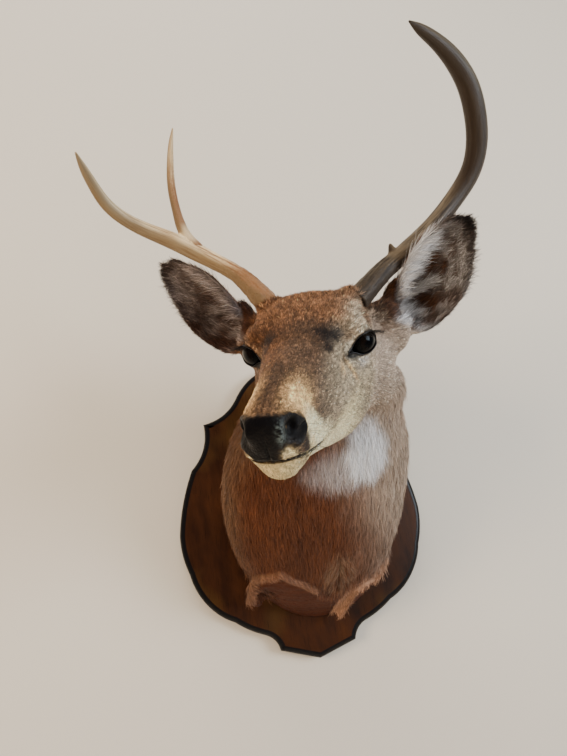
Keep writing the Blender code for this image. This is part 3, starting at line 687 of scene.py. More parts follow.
# --- meshes ----------------------------------------------------------------------------
def mesh_object(name: str, places: Array, faces: Sequence[Sequence[int]]) -> bpy.types.Object:
    """A smooth mesh object at the origin."""
    mesh = bpy.data.meshes.new(name)
    mesh.from_pydata([tuple(place) for place in places], [], [tuple(face) for face in faces])
    mesh.shade_smooth()
    return linked(name, mesh)


def linked(name: str, data: bpy.types.ID) -> bpy.types.Object:
    """A new object of that mesh, lamp or camera in the scene."""
    made = bpy.data.objects.new(name, data)
    bpy.context.scene.collection.objects.link(made)
    return made


def worked(name: str, work: bmesh.types.BMesh) -> bpy.types.Mesh:
    """The finished mesh of work in hand."""
    mesh = bpy.data.meshes.new(name)
    work.to_mesh(mesh)
    work.free()
    return mesh


def numbers_of(items: bpy.types.bpy_prop_collection, what: str, width: int, kind: type = float) -> Array:
    """Read one property of many items.

    Args:
        items: Vertices, edges, loops or a map's corners.
        what: Name of the property.
        width: How many numbers each item has.
        kind: Type of the numbers.

    Returns:
        One row for each item.
    """
    flat = np.empty(len(items) * width, kind)
    items.foreach_get(what, flat)
    return flat.reshape(-1, width)


def fill(items: bpy.types.bpy_prop_collection, what: str, values: Array, kind: type = np.float32) -> None:
    """Write one property of many items from rows or a column of numbers."""
    items.foreach_set(what, np.ascontiguousarray(values, dtype=kind).ravel())


def vertex_places(mesh: bpy.types.Mesh) -> Array:
    """Places of a mesh's vertices."""
    return numbers_of(mesh.vertices, "co", 3)


def vertex_normals(mesh: bpy.types.Mesh) -> Array:
    """Normals of a mesh's vertices."""
    return numbers_of(mesh.vertices, "normal", 3)


def place_vertices(mesh: bpy.types.Mesh, places: Array) -> None:
    """Move a mesh's vertices to new places."""
    fill(mesh.vertices, "co", places)
    mesh.update()


def edge_pairs(mesh: bpy.types.Mesh) -> Array:
    """Rows of the two vertices of each edge."""
    return numbers_of(mesh.edges, "vertices", 2, np.int32)


def relaxed(places: Array, edges: Array, factors: Sequence[float], weight: Array | float = 1.0) -> Array:
    """Places after steps of smoothing towards the mean of their neighbours.

    Args:
        places: Rows of places.
        edges: Rows of the two vertices of each edge.
        factors: Strength of each step; a negative one swells what the last one shrank.
        weight: How much of each step a vertex takes.

    Returns:
        The smoothed places.
    """
    ends = np.concatenate([edges[:, 0], edges[:, 1]])
    others = np.concatenate([edges[:, 1], edges[:, 0]])
    count = np.maximum(np.bincount(ends, minlength=len(places)), 1)[:, None]
    weight = np.broadcast_to(np.asarray(weight, float), (len(places),))[:, None]
    for factor in factors:
        mean = np.stack([np.bincount(ends, places[others, i], len(places)) for i in range(3)], 1) / count
        places = places + (mean - places) * factor * weight
    return places


def evaluated_mesh(thing: bpy.types.Object) -> bpy.types.Mesh:
    """The mesh of an object with its modifiers, after which the object is removed."""
    bpy.context.view_layer.update()
    graph = bpy.context.evaluated_depsgraph_get()
    mesh = bpy.data.meshes.new_from_object(thing.evaluated_get(graph), depsgraph=graph)
    bpy.data.objects.remove(thing)
    return mesh


def joined(thing: bpy.types.Object, operation: str, other: bpy.types.Object) -> bpy.types.Mesh:
    """The mesh of two objects joined or cut, after which both are removed."""
    modifier = thing.modifiers.new("Join", "BOOLEAN")
    modifier.operation = operation
    modifier.solver = "EXACT"
    modifier.object = other
    mesh = evaluated_mesh(thing)
    bpy.data.objects.remove(other)
    return mesh


def colour_attribute(mesh: bpy.types.Mesh, name: str, colours: Array) -> None:
    """Store a colour for each vertex."""
    made = mesh.attributes.new(name, "FLOAT_COLOR", "POINT")
    fill(made.data, "color", np.concatenate([colours, np.ones((len(colours), 1))], axis=1))


def value_attribute(mesh: bpy.types.Mesh, name: str, values: Array) -> None:
    """Store a number for each vertex."""
    fill(mesh.attributes.new(name, "FLOAT", "POINT").data, "value", values)


def dress(thing: bpy.types.Object, material: bpy.types.Material) -> bpy.types.Object:
    """Give an object one material in place of those it has, and return it."""
    thing.data.materials.clear()
    thing.data.materials.append(material)
    return thing


def band(rows: int, sides: int, closed: bool = False) -> list[list[int]]:
    """Faces of a band round a form.

    Args:
        rows: How many rings of vertices it has.
        sides: How many vertices stand in each ring.
        closed: Whether the last ring meets the first.

    Returns:
        The vertices of each face.
    """
    faces = []
    for row in range(rows if closed else rows - 1):
        low, high = row * sides, (row + 1) % rows * sides
        for k in range(sides):
            beside = (k + 1) % sides
            faces.append([low + k, low + beside, high + beside, high + k])
    return faces


def rings(points: Array, radii: Array, across: Array, side: Array, sides: int) -> Array:
    """Places of rings round points.

    Args:
        points: Rows of the rings' middles.
        radii: A radius for each ring.
        across: A direction in each ring's plane.
        side: The other direction in each ring's plane.
        sides: How many vertices stand in each ring.

    Returns:
        Rows of places, ring by ring.
    """
    angle = np.linspace(0, 2 * np.pi, sides, endpoint=False)[None, :, None]
    radii = np.broadcast_to(radii.reshape(len(points), -1), (len(points), sides))
    around = across[:, None] * np.cos(angle) + side[:, None] * np.sin(angle)
    return (points[:, None] + radii[..., None] * around).reshape(-1, 3)


def swept(points: Array, radii: Array, sides: int, first: Array) -> tuple[Array, list[list[int]]]:
    """A closed tube along points.

    Args:
        points: Rows of places along its middle.
        radii: Its radius at each place, or rows of radii round it.
        sides: How many vertices stand round it.
        first: A direction roughly across the start.

    Returns:
        Its places and faces.
    """
    ahead = unit(np.gradient(points, axis=0))
    across = np.empty_like(points)
    for i, forward in enumerate(ahead):
        first = unit(first - forward * (first @ forward))
        across[i] = first
    places = rings(points, radii, across, np.cross(ahead, across), sides)
    faces = band(len(points), sides)
    low, high, last = len(places), len(places) + 1, len(places) - sides
    for k in range(sides):
        beside = (k + 1) % sides
        faces += [[low, beside, k], [high, last + k, last + beside]]
    return np.concatenate([places, points[:1], points[-1:]]), faces


def spline(stations: Array, count: int) -> tuple[Array, Array]:
    """A natural cubic spline through rows of values.

    Args:
        stations: Rows whose first three columns are places.
        count: How many rows to make, evenly along the line.

    Returns:
        The rows, and how far along the line each lies.
    """
    reach = np.concatenate([[0], np.cumsum(np.linalg.norm(np.diff(stations[:, :3], axis=0), axis=1))])
    step = np.diff(reach)
    system = np.eye(len(reach))
    right = np.zeros_like(stations)
    slope = np.diff(stations, axis=0) / step[:, None]
    for i in range(1, len(reach) - 1):
        system[i, i - 1:i + 2] = step[i - 1], 2 * (step[i - 1] + step[i]), step[i]
        right[i] = 6 * (slope[i] - slope[i - 1])
    bend = np.linalg.solve(system, right)
    wanted = np.linspace(0, reach[-1], count)
    i = np.clip(np.searchsorted(reach, wanted, side="right") - 1, 0, len(step) - 1)
    a, b = ((reach[i + 1] - wanted) / step[i])[:, None], ((wanted - reach[i]) / step[i])[:, None]
    rows = (a * stations[i] + b * stations[i + 1]
            + ((a**3 - a) * bend[i] + (b**3 - b) * bend[i + 1]) * step[i][:, None] ** 2 / 6)
    return rows, wanted


# --- finishes --------------------------------------------------------------------------
class Wire:
    """A socket that takes part in arithmetic: each operator adds a Math node."""

    def __init__(self, maker: "NodeMaker", socket: bpy.types.NodeSocket) -> None:
        """Wrap an output socket of a tree."""
        self.maker, self.socket = maker, socket

    def math(self, operation: str, other: "Wire | float") -> "Wire":
        """A Math node with this socket first."""
        return self.maker.node("ShaderNodeMath", {"operation": operation}, {0: self, 1: other})

    def __add__(self, other: "Wire | float") -> "Wire":
        """Sum."""
        return self.math("ADD", other)

    def __mul__(self, other: "Wire | float") -> "Wire":
        """Product."""
        return self.math("MULTIPLY", other)

    def __rsub__(self, other: float) -> "Wire":
        """Difference from a number."""
        return self * -1.0 + other

    def __pow__(self, other: float) -> "Wire":
        """Power."""
        return self.math("POWER", other)

    __radd__, __rmul__ = __add__, __mul__


class NodeMaker:
    """Whatever adds nodes to a tree."""

    def __init__(self, tree: bpy.types.NodeTree) -> None:
        """Work on a tree."""
        self.tree = tree

    def node(self, kind: str, settings: dict | None = None, inputs: dict | None = None,
             output: int | str = 0) -> Wire:
        """Add a node.

        Args:
            kind: The node's type.
            settings: Its own settings, set before its sockets.
            inputs: Values or wires for its sockets, by name or number.
            output: Which output to return.

        Returns:
            The output.
        """
        made = self.tree.nodes.new(kind)
        for name, value in (settings or {}).items():
            setattr(made, name, value)
        for name, value in (inputs or {}).items():
            self.plug(made.inputs[name], value)
        return Wire(self, made.outputs[output])

    def plug(self, socket: bpy.types.NodeSocket, value: object) -> None:
        """Link a wire to a socket, or set its value."""
        if isinstance(value, Wire):
            self.tree.links.new(value.socket, socket)
        else:
            socket.default_value = value


class Recipe(NodeMaker):
    """A material under construction, with its Principled shader."""

    def __init__(self, name: str, **constants: float | Sequence[float]) -> None:
        """Start a material.

        Args:
            name: The material's name.
            constants: Sockets of the shader that are the same all over, with _ for a space.
        """
        self.material = bpy.data.materials.new(name)
        self.material.use_nodes = True
        super().__init__(self.material.node_tree)
        self.shader = self.tree.nodes["Principled BSDF"]
        for socket, value in constants.items():
            self.shader.inputs[socket.replace("_", " ").title().replace("Ior", "IOR")].default_value = value

    def feed(self, socket: str, value: Wire) -> None:
        """Link a wire to a socket of the shader."""
        self.plug(self.shader.inputs[socket], value)

    def object_place(self) -> Wire:
        """Object coordinates."""
        return self.node("ShaderNodeTexCoord", output="Object")

    def attribute(self, name: str, output: str = "Fac") -> Wire:
        """A stored attribute."""
        return self.node("ShaderNodeAttribute", {"attribute_name": name}, output=output)

    def stretched(self, place: Wire, scale: Triple) -> Wire:
        """Coordinates scaled along each axis."""
        return self.node("ShaderNodeMapping", inputs={"Vector": place, "Scale": scale})

    def length(self, place: Wire) -> Wire:
        """Distance from the origin."""
        return self.node("ShaderNodeVectorMath", {"operation": "LENGTH"}, {0: place}, "Value")

    def noise(self, place: Wire, scale: float, detail: float = 3.0, roughness: float = 0.55,
              output: int | str = 0) -> Wire:
        """Noise around 0.5."""
        inputs = {"Vector": place, "Scale": scale, "Detail": detail, "Roughness": roughness}
        return self.node("ShaderNodeTexNoise", inputs=inputs, output=output)

    def ramp(self, value: Wire, low: float, high: float, to_low: float = 0.0, to_high: float = 1.0) -> Wire:
        """A value carried from one range to another and kept within it."""
        return self.node("ShaderNodeMapRange", inputs={0: value, 1: low, 2: high, 3: to_low, 4: to_high})

    def mix(self, weight: Wire | float, first: Wire | Array, second: Wire | Array, how: str = "MIX") -> Wire:
        """A Mix node for colours."""
        first, second = (value if isinstance(value, Wire) else (*value, 1.0) for value in (first, second))
        return self.node("ShaderNodeMix", {"data_type": "RGBA", "blend_type": how},
                         {0: weight, 6: first, 7: second}, output=2)

    def speckled(self, colour: Wire, speck: Wire) -> Wire:
        """A colour made lighter and darker by specks."""
        grey = self.node("ShaderNodeCombineColor", inputs={0: speck, 1: speck, 2: speck})
        return self.mix(1.0, colour, grey, "MULTIPLY")

    def bump(self, height: Wire, depth: float, strength: float = 1.0) -> None:
        """Feed the normal from a Bump node, whose depth is in metres."""
        inputs = {"Height": height, "Distance": depth, "Strength": strength}
        self.feed("Normal", self.node("ShaderNodeBump", inputs=inputs))


@dataclass(frozen=True)
class HairFinish:
    """Hair whose colour is stored on its tufts."""

    roughness: float = 0.62
    sheen: float = 0.12

    def material(self) -> bpy.types.Material:
        """The material of every tuft."""
        recipe = Recipe("hair", roughness=self.roughness, sheen_weight=self.sheen, sheen_roughness=0.4,
                        specular_ior_level=0.32)
        speck = recipe.ramp(recipe.noise(recipe.object_place(), 900.0, 2.0), 0.3, 0.7, 0.78, 1.2)
        recipe.feed("Base Color", recipe.speckled(recipe.attribute(COAT_COLOUR, "Color"), speck))
        return recipe.material


@dataclass(frozen=True)
class HideFinish:
    """The skin under the hair, and the bare black pad of the nose."""

    pebble: float = 0.0021
    pebble_depth: float = 0.0006

    def material(self) -> bpy.types.Material:
        """The material of the skin."""
        recipe = Recipe("hide", specular_ior_level=0.2)
        place, bare = recipe.object_place(), recipe.attribute(BARE_MASK)
        speck = recipe.ramp(recipe.noise(place, 1400.0, 2.0), 0.35, 0.65, 0.72, 1.15)
        recipe.feed("Base Color", recipe.speckled(recipe.attribute(COAT_COLOUR, "Color"), speck))
        cells = recipe.node("ShaderNodeTexVoronoi", {"feature": "SMOOTH_F1"},
                            {"Vector": place, "Scale": 1.0 / self.pebble, "Smoothness": 0.4})
        pebbles = (1.0 - cells) * bare
        furry = recipe.noise(place, 1100.0, 2.0) * (1.0 - bare) * 0.6
        recipe.feed("Roughness", recipe.ramp(bare + 0.25 * recipe.noise(place, 300.0), 0.0, 1.25, 0.75, 0.46))
        recipe.bump(pebbles + furry, self.pebble_depth, 0.7)
        return recipe.material


# --- the hide --------------------------------------------------------------------------
@dataclass
class Hide:
    """One skin over head, neck, chest and ears, inside the solids by the depth of the coat."""

    voxel: float = 0.0026
    fairing: int = 14
    jaw_fairing: int = 46
    eye_region: float = 31.0
    muzzle_reach: float = 78.0
    most_triangles: int = 192_000

    def build(self) -> bpy.types.Object:
        """Make the skin and store what the hair needs on it."""
        mesh = self.refined(self.blank())
        places = self.sculpted(vertex_places(mesh))
        place_vertices(mesh, places)
        spots = Pelt(places, vertex_normals(mesh))
        edges = edge_pairs(mesh)
        places = places + spots.normal * (self.rolled_edges(spots) - spots.depth())[:, None] * MM
        firm = held(smooth(3.0, 12.0, spots.lid) + (1 - spots.headness)) * (1 - spots.bare_nose)
        places = relaxed(places, edges, (0.5, -0.53) * 3, firm * smooth(14, 60, spots.head[:, 1]))
        jaw_joint = spots.near((72, 262, -112), (30, 36, 62)) * (1 - spots.earness)
        places = relaxed(places, edges, (0.5,) * self.jaw_fairing, held(1.6 * jaw_joint))
        place_vertices(mesh, places)
        mesh = self.thinned(mesh, spots)
        self.paint(mesh)
        return linked("hide", mesh)

    def thinned(self, mesh: bpy.types.Mesh, spots: Pelt) -> bpy.types.Mesh:
        """Larger faces where long hair hides the skin, so that the piece stays under its limit.

        Args:
            mesh: The whole skin.
            spots: What is known of its vertices.

        Returns:
            The lighter skin.
        """
        thing = linked("thinned", mesh)
        hidden = smooth(3.2, 7.0, spots.length) * (1 - 0.9 * spots.under)
        group = thing.vertex_groups.new(name="hidden")
        for weight in (0.25, 0.5, 0.75, 1.0):
            chosen = np.flatnonzero((hidden > weight - 0.25) & (hidden <= weight + 1e-6))
            group.add(chosen.tolist(), weight, "REPLACE")
        thin = thing.modifiers.new("Thin", "DECIMATE")
        thin.ratio = self.most_triangles / len(mesh.polygons)
        thin.vertex_group = group.name
        thin.vertex_group_factor = 1.0
        thin.use_collapse_triangulate = True
        mesh = evaluated_mesh(thing)
        mesh.name = "hide"
        mesh.shade_smooth()
        return mesh

    def blank(self) -> bpy.types.Mesh:
        """The solids made one smooth surface, with a ball where each eye sits."""
        work = bmesh.new()
        for name in FLESH_NODES:
            work.from_mesh(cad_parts[name].data)
        bmesh.ops.remove_doubles(work, verts=work.verts, dist=1e-6)
        for side in SIDES.values():
            bmesh.ops.create_icosphere(work, subdivisions=4, radius=(EYE.radius + 1.6) * MM,
                                       matrix=Matrix.Translation(EYE.standing(side)[0]))
        thing = linked("blank", worked("blank", work))
        remesh = thing.modifiers.new("Remesh", "REMESH")
        remesh.mode = "VOXEL"
        remesh.voxel_size = self.voxel
        mesh = evaluated_mesh(thing)
        mesh.name = "hide"
        place_vertices(mesh, relaxed(vertex_places(mesh), edge_pairs(mesh), (0.5, -0.52) * self.fairing))
        return mesh

    def refined(self, mesh: bpy.types.Mesh) -> bpy.types.Mesh:
        """The skin with finer faces round the eyes, over the muzzle and at the brisket."""
        for level in range(2):
            body = vertex_places(mesh)
            head = POSE.to_head(body)
            eye = EYE.coordinates(POSE.mirrored(head, POSE.sides(head)))
            reach = self.eye_region - 4 * level
            chosen = (np.linalg.norm(eye - np.array([-5, 0, 6]), axis=1) < reach) & (eye[:, 2] > -6)
            chosen |= (head[:, 1] < self.muzzle_reach - 44 * level) & (head[:, 2] < 30)
            if level == 0:
                chosen |= (body[:, 2] < -0.080) & (body[:, 1] < -0.035)
            work = bmesh.new()
            work.from_mesh(mesh)
            work.verts.ensure_lookup_table()
            edges = [edge for edge in work.edges if all(chosen[vert.index] for vert in edge.verts)]
            bmesh.ops.subdivide_edges(work, edges=edges, cuts=1, use_grid_fill=True)
            work.to_mesh(mesh)
            work.free()
            places = vertex_places(mesh)
            fresh = np.concatenate([0.6 * chosen, np.ones(len(places) - len(chosen))])
            place_vertices(mesh, relaxed(places, edge_pairs(mesh), (0.5, -0.5) * 3, fresh))
        work = bmesh.new()
        work.from_mesh(mesh)
        bmesh.ops.triangulate(work, faces=work.faces)
        work.to_mesh(mesh)
        work.free()
        mesh.shade_smooth()
        return mesh

    def sculpted(self, places: Array) -> Array:
        """Places with lids, tear ducts, nostrils and mouth carved."""
        head = POSE.to_head(places)
        side = POSE.sides(head)
        mirrored = POSE.mirrored(head, side)
        for step in (self.carve_nose, self.carve_mouth, self.carve_lids):
            mirrored = step(mirrored)
        moved = POSE.from_head(POSE.mirrored(mirrored, side))
        return blend(places, moved, smooth(330, 300, head[:, 1]))

    @staticmethod
    def rolled_edges(spots: Pelt) -> Array:
        """How far the rolled edge and the flap of the brisket stand out, and the underside in, in mm."""
        wave = noise(spots.place * 45, 77)
        wrinkle = layered(spots.place * np.array([18, 150, 150]), 79)
        out = spots.lip * (4.5 + 1.5 * wave) + spots.flap_rim * (4.0 + 1.5 * wave) + 1.5 * spots.flap
        return out - 2.2 * spots.fold + spots.under * (0.8 * wrinkle - 1.2) * (1 - spots.lip)

    @staticmethod
    def carve_lids(mirrored: Array) -> Array:
        """Open the lids over the ball of the eye, with a tear duct and a fold above."""
        eye = EYE.coordinates(mirrored)
        along, up, out = eye.T
        outside = EYE.outside(along, up)
        lateral = np.hypot(along, up)
        front = out > -2
        ball = np.sqrt(np.clip((EYE.radius - 3.2) ** 2 - lateral**2, 0, None))
        opened = smooth(0.1, -1.3, outside) * front * (lateral < 60)
        floor = np.where(smooth(17.0, 14.5, lateral) > 0.5, ball, out - 3.8)
        eye[:, 2] = out + (np.minimum(floor, out) - out) * opened
        eye[:, 2] -= 1.3 * (hill((outside, 6.5, 1.5)) * (up > 2) * smooth(-16, -6, along) * front)
        eye[:, 2] += 0.7 * (hill((outside, 0.9, 1.0)) * front * (lateral < 30))
        eye[:, 2] -= 2.6 * (hill((along, -31, 7), (up + 4 + 0.5 * (along + 28), 0, 2.6)) * front)
        return eye @ EYE.axes + np.array(EYE.middle)

    @staticmethod
    def carve_nose(mirrored: Array) -> Array:
        """Hollow the nostrils, round their wings and part the upper lip."""
        x, s, z = mirrored.T
        turn = np.arctan2(z + 22, x - 19)
        hole = hill((x, 19.5, 4.6), (z, -20.5, 6.8), (s, 12, 13))
        slit = hill((x, 24.5, 4.0), (z, -27, 3.4), (s, 20, 11))
        wing = hill((x, 25, 5), (z, -13, 5), (s, 17, 9))
        fold = hill((x, 12.5, 2.8), (z + 19 + 2 * np.sin(turn), 0, 8), (s, 4, 8))
        part = hill((x, 0, 1.1), (z, -34, 10), (s, 4, 9))
        mirrored = mirrored + np.array([-0.45, 0.88, 0.0]) * (14.0 * hole + 8.0 * slit)[:, None]
        mirrored = mirrored + np.array([0.6, -0.7, 0.35]) * (2.0 * wing + 2.0 * fold)[:, None]
        mirrored[:, 1] += 1.6 * part
        return mirrored

    @staticmethod
    def mouth_height(s: Array) -> Array:
        """Height of the line between the lips at places back from the nose."""
        return np.interp(s, (0, 8, 14, 30, 54, 82, 96), (-46, -44.5, -45.5, -53, -65, -76, -79))

    @classmethod
    def carve_mouth(cls, mirrored: Array) -> Array:
        """Draw the line between the lips and set the lower lip back."""
        _, s, z = mirrored.T
        over = z - cls.mouth_height(s)
        groove = hill((over, 0, 1.5)) * smooth(100, 84, s)
        outward = unit(columns(smooth(8, 26, s) + 0.25, -smooth(26, 8, s), 0.0))
        mirrored = mirrored - outward * (3.0 * groove)[:, None]
        mirrored[:, 1] += 2.5 * (smooth(-1.0, -5.0, over) * smooth(24, 8, s))
        upper = hill((over, 4.5, 3.5)) * smooth(74, 50, s)
        return mirrored + outward * (1.2 * upper)[:, None]

    @staticmethod
    def paint(mesh: bpy.types.Mesh) -> None:
        """Store the colour of the coat on the skin, and where it is bare."""
        spots = Pelt(vertex_places(mesh), vertex_normals(mesh))
        furred = 1 - spots.bare_nose
        colour = blend(spots.colour, Tones.soot * 0.6, held(spots.lips * 1.3))
        shade = 1 - 0.35 * smooth(3.0, 6.0, spots.length) * furred
        colour_attribute(mesh, COAT_COLOUR, colour * shade[:, None])
        opening = smooth(1.2, -0.2, spots.lid) * spots.headness
        pit = smooth(0.25, 0.7, spots.near((20, 19, -21), (7, 12, 9)) + spots.near((25, 26, -28), (6, 10, 6)))
        value_attribute(mesh, BARE_MASK, held(spots.bare_nose * (1 - 0.9 * pit) + opening))
        mesh.materials.append(HideFinish().material())


# --- the hair --------------------------------------------------------------------------
@dataclass
class TuftPlan:
    """How many tufts a square millimetre of hide carries in each region, and the seed of chance."""

    body: float = 0.64
    face: float = 2.0
    crown: float = 1.15
    jaw: float = 1.25
    ear: float = 1.05
    seed: int = 7


@dataclass
class Strips:
    """Thin tapering strips of hair, each from its root, with lengths and widths in m."""

    root: Array
    flow: Array
    normal: Array
    length: Array
    width: Array
    lift: Array
    roll: Array
    bend: Array
    root_colour: Array
    tip_colour: Array
    maps: Array

    def piece(self, name: str, steps: Sequence[float]) -> bpy.types.Object:
        """Join the strips in one mesh.

        Args:
            name: The piece's name.
            steps: Where along a strip its rows stand, from 0 at its root to 1 at its tip.

        Returns:
            The object, with its colours and its map.
        """
        count = len(self.root)
        side = unit(np.cross(self.flow, self.normal))
        face = side * np.cos(self.roll)[:, None] + self.normal * np.sin(self.roll)[:, None]
        rows, colours, maps = [], [], []
        for step in steps:
            forward = self.flow * (step * np.cos(self.lift))[:, None]
            rise = self.normal * (np.sin(self.lift) * (step - 0.42 * step * step))[:, None]
            sway = side * (self.bend * step * step)[:, None]
            middle = self.root + (forward + rise + sway) * self.length[:, None] - self.normal * SINK
            middle[:, 1] = np.minimum(middle[:, 1], BOARD_FRONT)
            half = face * (self.width * (1 - step) ** 0.7 / 2)[:, None]
            shade = blend(self.root_colour, self.tip_colour, np.full(count, step**0.6))
            for end in (-1.0, 1.0) if step < 1 else (0.0,):
                rows.append(middle + half * end)
                colours.append(shade)
                maps.append(self.maps + BAKE_PATCH * np.array([0.4 * end, step - 0.5]))
        height = len(rows)
        pattern = [[2 * row + k for k in corner] for row in range(len(steps) - 2)
                   for corner in ((0, 1, 3), (0, 3, 2))]
        pattern = np.array([*pattern, [height - 3, height - 2, height - 1]])
        faces = (pattern[None] + (np.arange(count) * height)[:, None, None]).reshape(-1, 3)
        mesh = triangle_mesh(name, np.stack(rows, 1).reshape(-1, 3), faces)
        colour_attribute(mesh, COAT_COLOUR, np.stack(colours, 1).reshape(-1, 3).clip(0.001, 1))
        layer = mesh.uv_layers.new(name=BAKE_MAP)
        fill(layer.data, "uv", np.stack(maps, 1).reshape(-1, 2)[faces.ravel()])
        return linked(name, mesh)


def triangle_mesh(name: str, places: Array, faces: Array) -> bpy.types.Mesh:
    """A smooth mesh of many triangles, from rows of places and rows of their numbers."""
    mesh = bpy.data.meshes.new(name)
    mesh.vertices.add(len(places))
    mesh.loops.add(faces.size)
    mesh.polygons.add(len(faces))
    fill(mesh.vertices, "co", places)
    fill(mesh.loops, "vertex_index", faces, np.int32)
    fill(mesh.polygons, "loop_start", np.arange(0, faces.size, 3), np.int32)
    mesh.update(calc_edges=True)
    mesh.shade_smooth()
    return mesh


class Coat:
    """Tufts of hair over the hide, as joined strips in a few pieces."""

    short_steps = (0.0, 0.55, 1.0)
    long_steps = (0.0, 0.35, 0.70, 1.0)

    def __init__(self, hide: bpy.types.Object, plan: TuftPlan) -> None:
        """Read the hide and unwrap it.

        Args:
            hide: The skin.
            plan: How thickly tufts stand on it.
        """
        self.plan = plan
        self.random = np.random.default_rng(plan.seed)
        self.triangles, self.maps = self.unwrapped(hide)
        self.corners = vertex_places(hide.data)
        self.normals = vertex_normals(hide.data)

    @staticmethod
    def unwrapped(hide: bpy.types.Object) -> tuple[Array, Array]:
        """Unwrap the hide and return its triangles and the map at each of their corners."""
        mesh = hide.data
        mesh.uv_layers.new(name=BAKE_MAP)
        bpy.ops.object.select_all(action="DESELECT")
        hide.select_set(True)
        bpy.context.view_layer.objects.active = hide
        bpy.ops.object.mode_set(mode="EDIT")
        bpy.ops.mesh.select_all(action="SELECT")
        bpy.ops.uv.smart_project(angle_limit=math.radians(66), island_margin=0.002)
        bpy.ops.object.mode_set(mode="OBJECT")
        maps = numbers_of(mesh.uv_layers[BAKE_MAP].data, "uv", 2)
        return numbers_of(mesh.loops, "vertex_index", 1, np.int32).reshape(-1, 3), maps.reshape(-1, 3, 2)

    def density(self, middles: Pelt) -> Array:
        """How many tufts stand on a square millimetre of each triangle."""
        plan = self.plan
        value = middles.region(plan.body, plan.face, plan.crown, plan.jaw, plan.ear)
        hidden = smooth(-0.0255, -0.0235, middles.place[:, 1])
        value = value * (1 - middles.bare_nose) * (1 - hidden) * (1 - 0.45 * middles.under)
        value = value * (1 - 0.6 * held(middles.lip + middles.flap_rim))
        value = value * (1 - smooth(0.3, 0.8, middles.lips))
        return value * np.where(middles.headness > 0.5, smooth(0.4, 1.6, middles.lid), 1.0)

    def roots(self) -> tuple[Pelt, Array]:
        """Scatter roots over the hide.

        Returns:
            The places, and the map coordinates of each.
        """
        a, b, c = (self.corners[self.triangles[:, i]] for i in range(3))
        area = np.linalg.norm(np.cross(b - a, c - a), axis=1) / 2 / MM**2
        middles = Pelt((a + b + c) / 3, unit(self.normals[self.triangles].sum(1)))
        counts = np.floor(area * self.density(middles) + self.random.random(len(area))).astype(int)
        chosen = np.repeat(np.arange(len(counts)), counts)
        first, second = np.sqrt(self.random.random(len(chosen))), self.random.random(len(chosen))
        weights = columns(1 - first, first * (1 - second), first * second)[..., None]
        corner = self.triangles[chosen]
        place = (self.corners[corner] * weights).sum(1)
        normal = unit((self.normals[corner] * weights).sum(1))
        return Pelt(place, normal), (self.maps[chosen] * weights).sum(1)

    def strips(self) -> tuple[Pelt, dict[str, Array]]:
        """Everything that the strips need, for all of them at once.

        Returns:
            The places of the roots, and the fields of Strips.
        """
        spots, maps = self.roots()
        count, place = len(spots.place), spots.place
        chance = self.random.standard_normal
        clump = noise(place * 190, 71)
        length = spots.length * (1 + 0.18 * clump + 0.22 * chance(count)).clip(0.5, 1.6)
        lift = (spots.lift() * (1 + 0.35 * noise(place * 240, 73)) + 0.09 * chance(count)).clip(0.06, 1.1)
        flow = spots.flow()
        back, high = spots.head[:, 1], spots.head[:, 2]
        stray = 0.16 + 0.22 * smooth(170, 210, back) * smooth(-50, -20, high) * spots.headness
        flow = unit(flow + np.cross(flow, spots.normal) * (stray * chance(count))[:, None])
        colour = spots.colour
        tick = 0.8 * chance(count) + 0.9 * noise(place * 620, 75)
        crisp = (0.26 + 0.38 * spots.headness) * (1 - 0.45 * smooth(0.30, 0.75, colour[:, 1]))
        root_shade = (0.92 - 0.9 * crisp + 0.10 * tick).clip(0.2, 1.2)
        tip_shade = np.exp(crisp * tick + 0.10 * chance(count) + 0.25 * crisp)
        bend, roll = 0.12 * chance(count), 0.50 * chance(count)
        width = spots.width() * (1 + 0.2 * chance(count)).clip(0.5, 1.5)
        return spots, {"root": place, "flow": flow, "normal": spots.normal, "length": length * MM,
                       "width": width * MM, "lift": lift, "roll": roll, "bend": bend,
                       "root_colour": colour * root_shade[:, None],
                       "tip_colour": colour * tip_shade[:, None], "maps": maps}

    def build(self) -> list[bpy.types.Object]:
        """Make every piece of the coat."""
        spots, values = self.strips()
        pieces = []
        for name, mask in self.divided(spots):
            strips = Strips(**{label: rows[mask] for label, rows in values.items()})
            short = name.startswith(("coat_face", "coat_crown"))
            pieces.append(strips.piece(name, self.short_steps if short else self.long_steps))
        return pieces

    @staticmethod
    def divided(spots: Spots) -> list[tuple[str, Array]]:
        """Names and masks of the pieces of the coat."""
        eared = spots.earness > 0.5
        headed = (spots.headness > 0.5) & ~eared
        body = ~headed & ~eared
        back, high = spots.head[:, 1], spots.place[:, 2]
        groups = {"face": headed & (back < 150), "crown": headed & (back >= 150), "ear": eared,
                  "neck": body & (high > 0.115), "throat": body & (high <= 0.115) & (high > 0.03),
                  "shoulder": body & (high <= 0.03) & (high > -0.05), "brisket": body & (high <= -0.05)}
        left = spots.head[:, 0] > 0
        masks = [(f"coat_{name}_{side}", mask & half) for name, mask in groups.items()
                 for side, half in (("left", left), ("right", ~left))]
        return [(name, mask) for name, mask in masks if mask.any()]


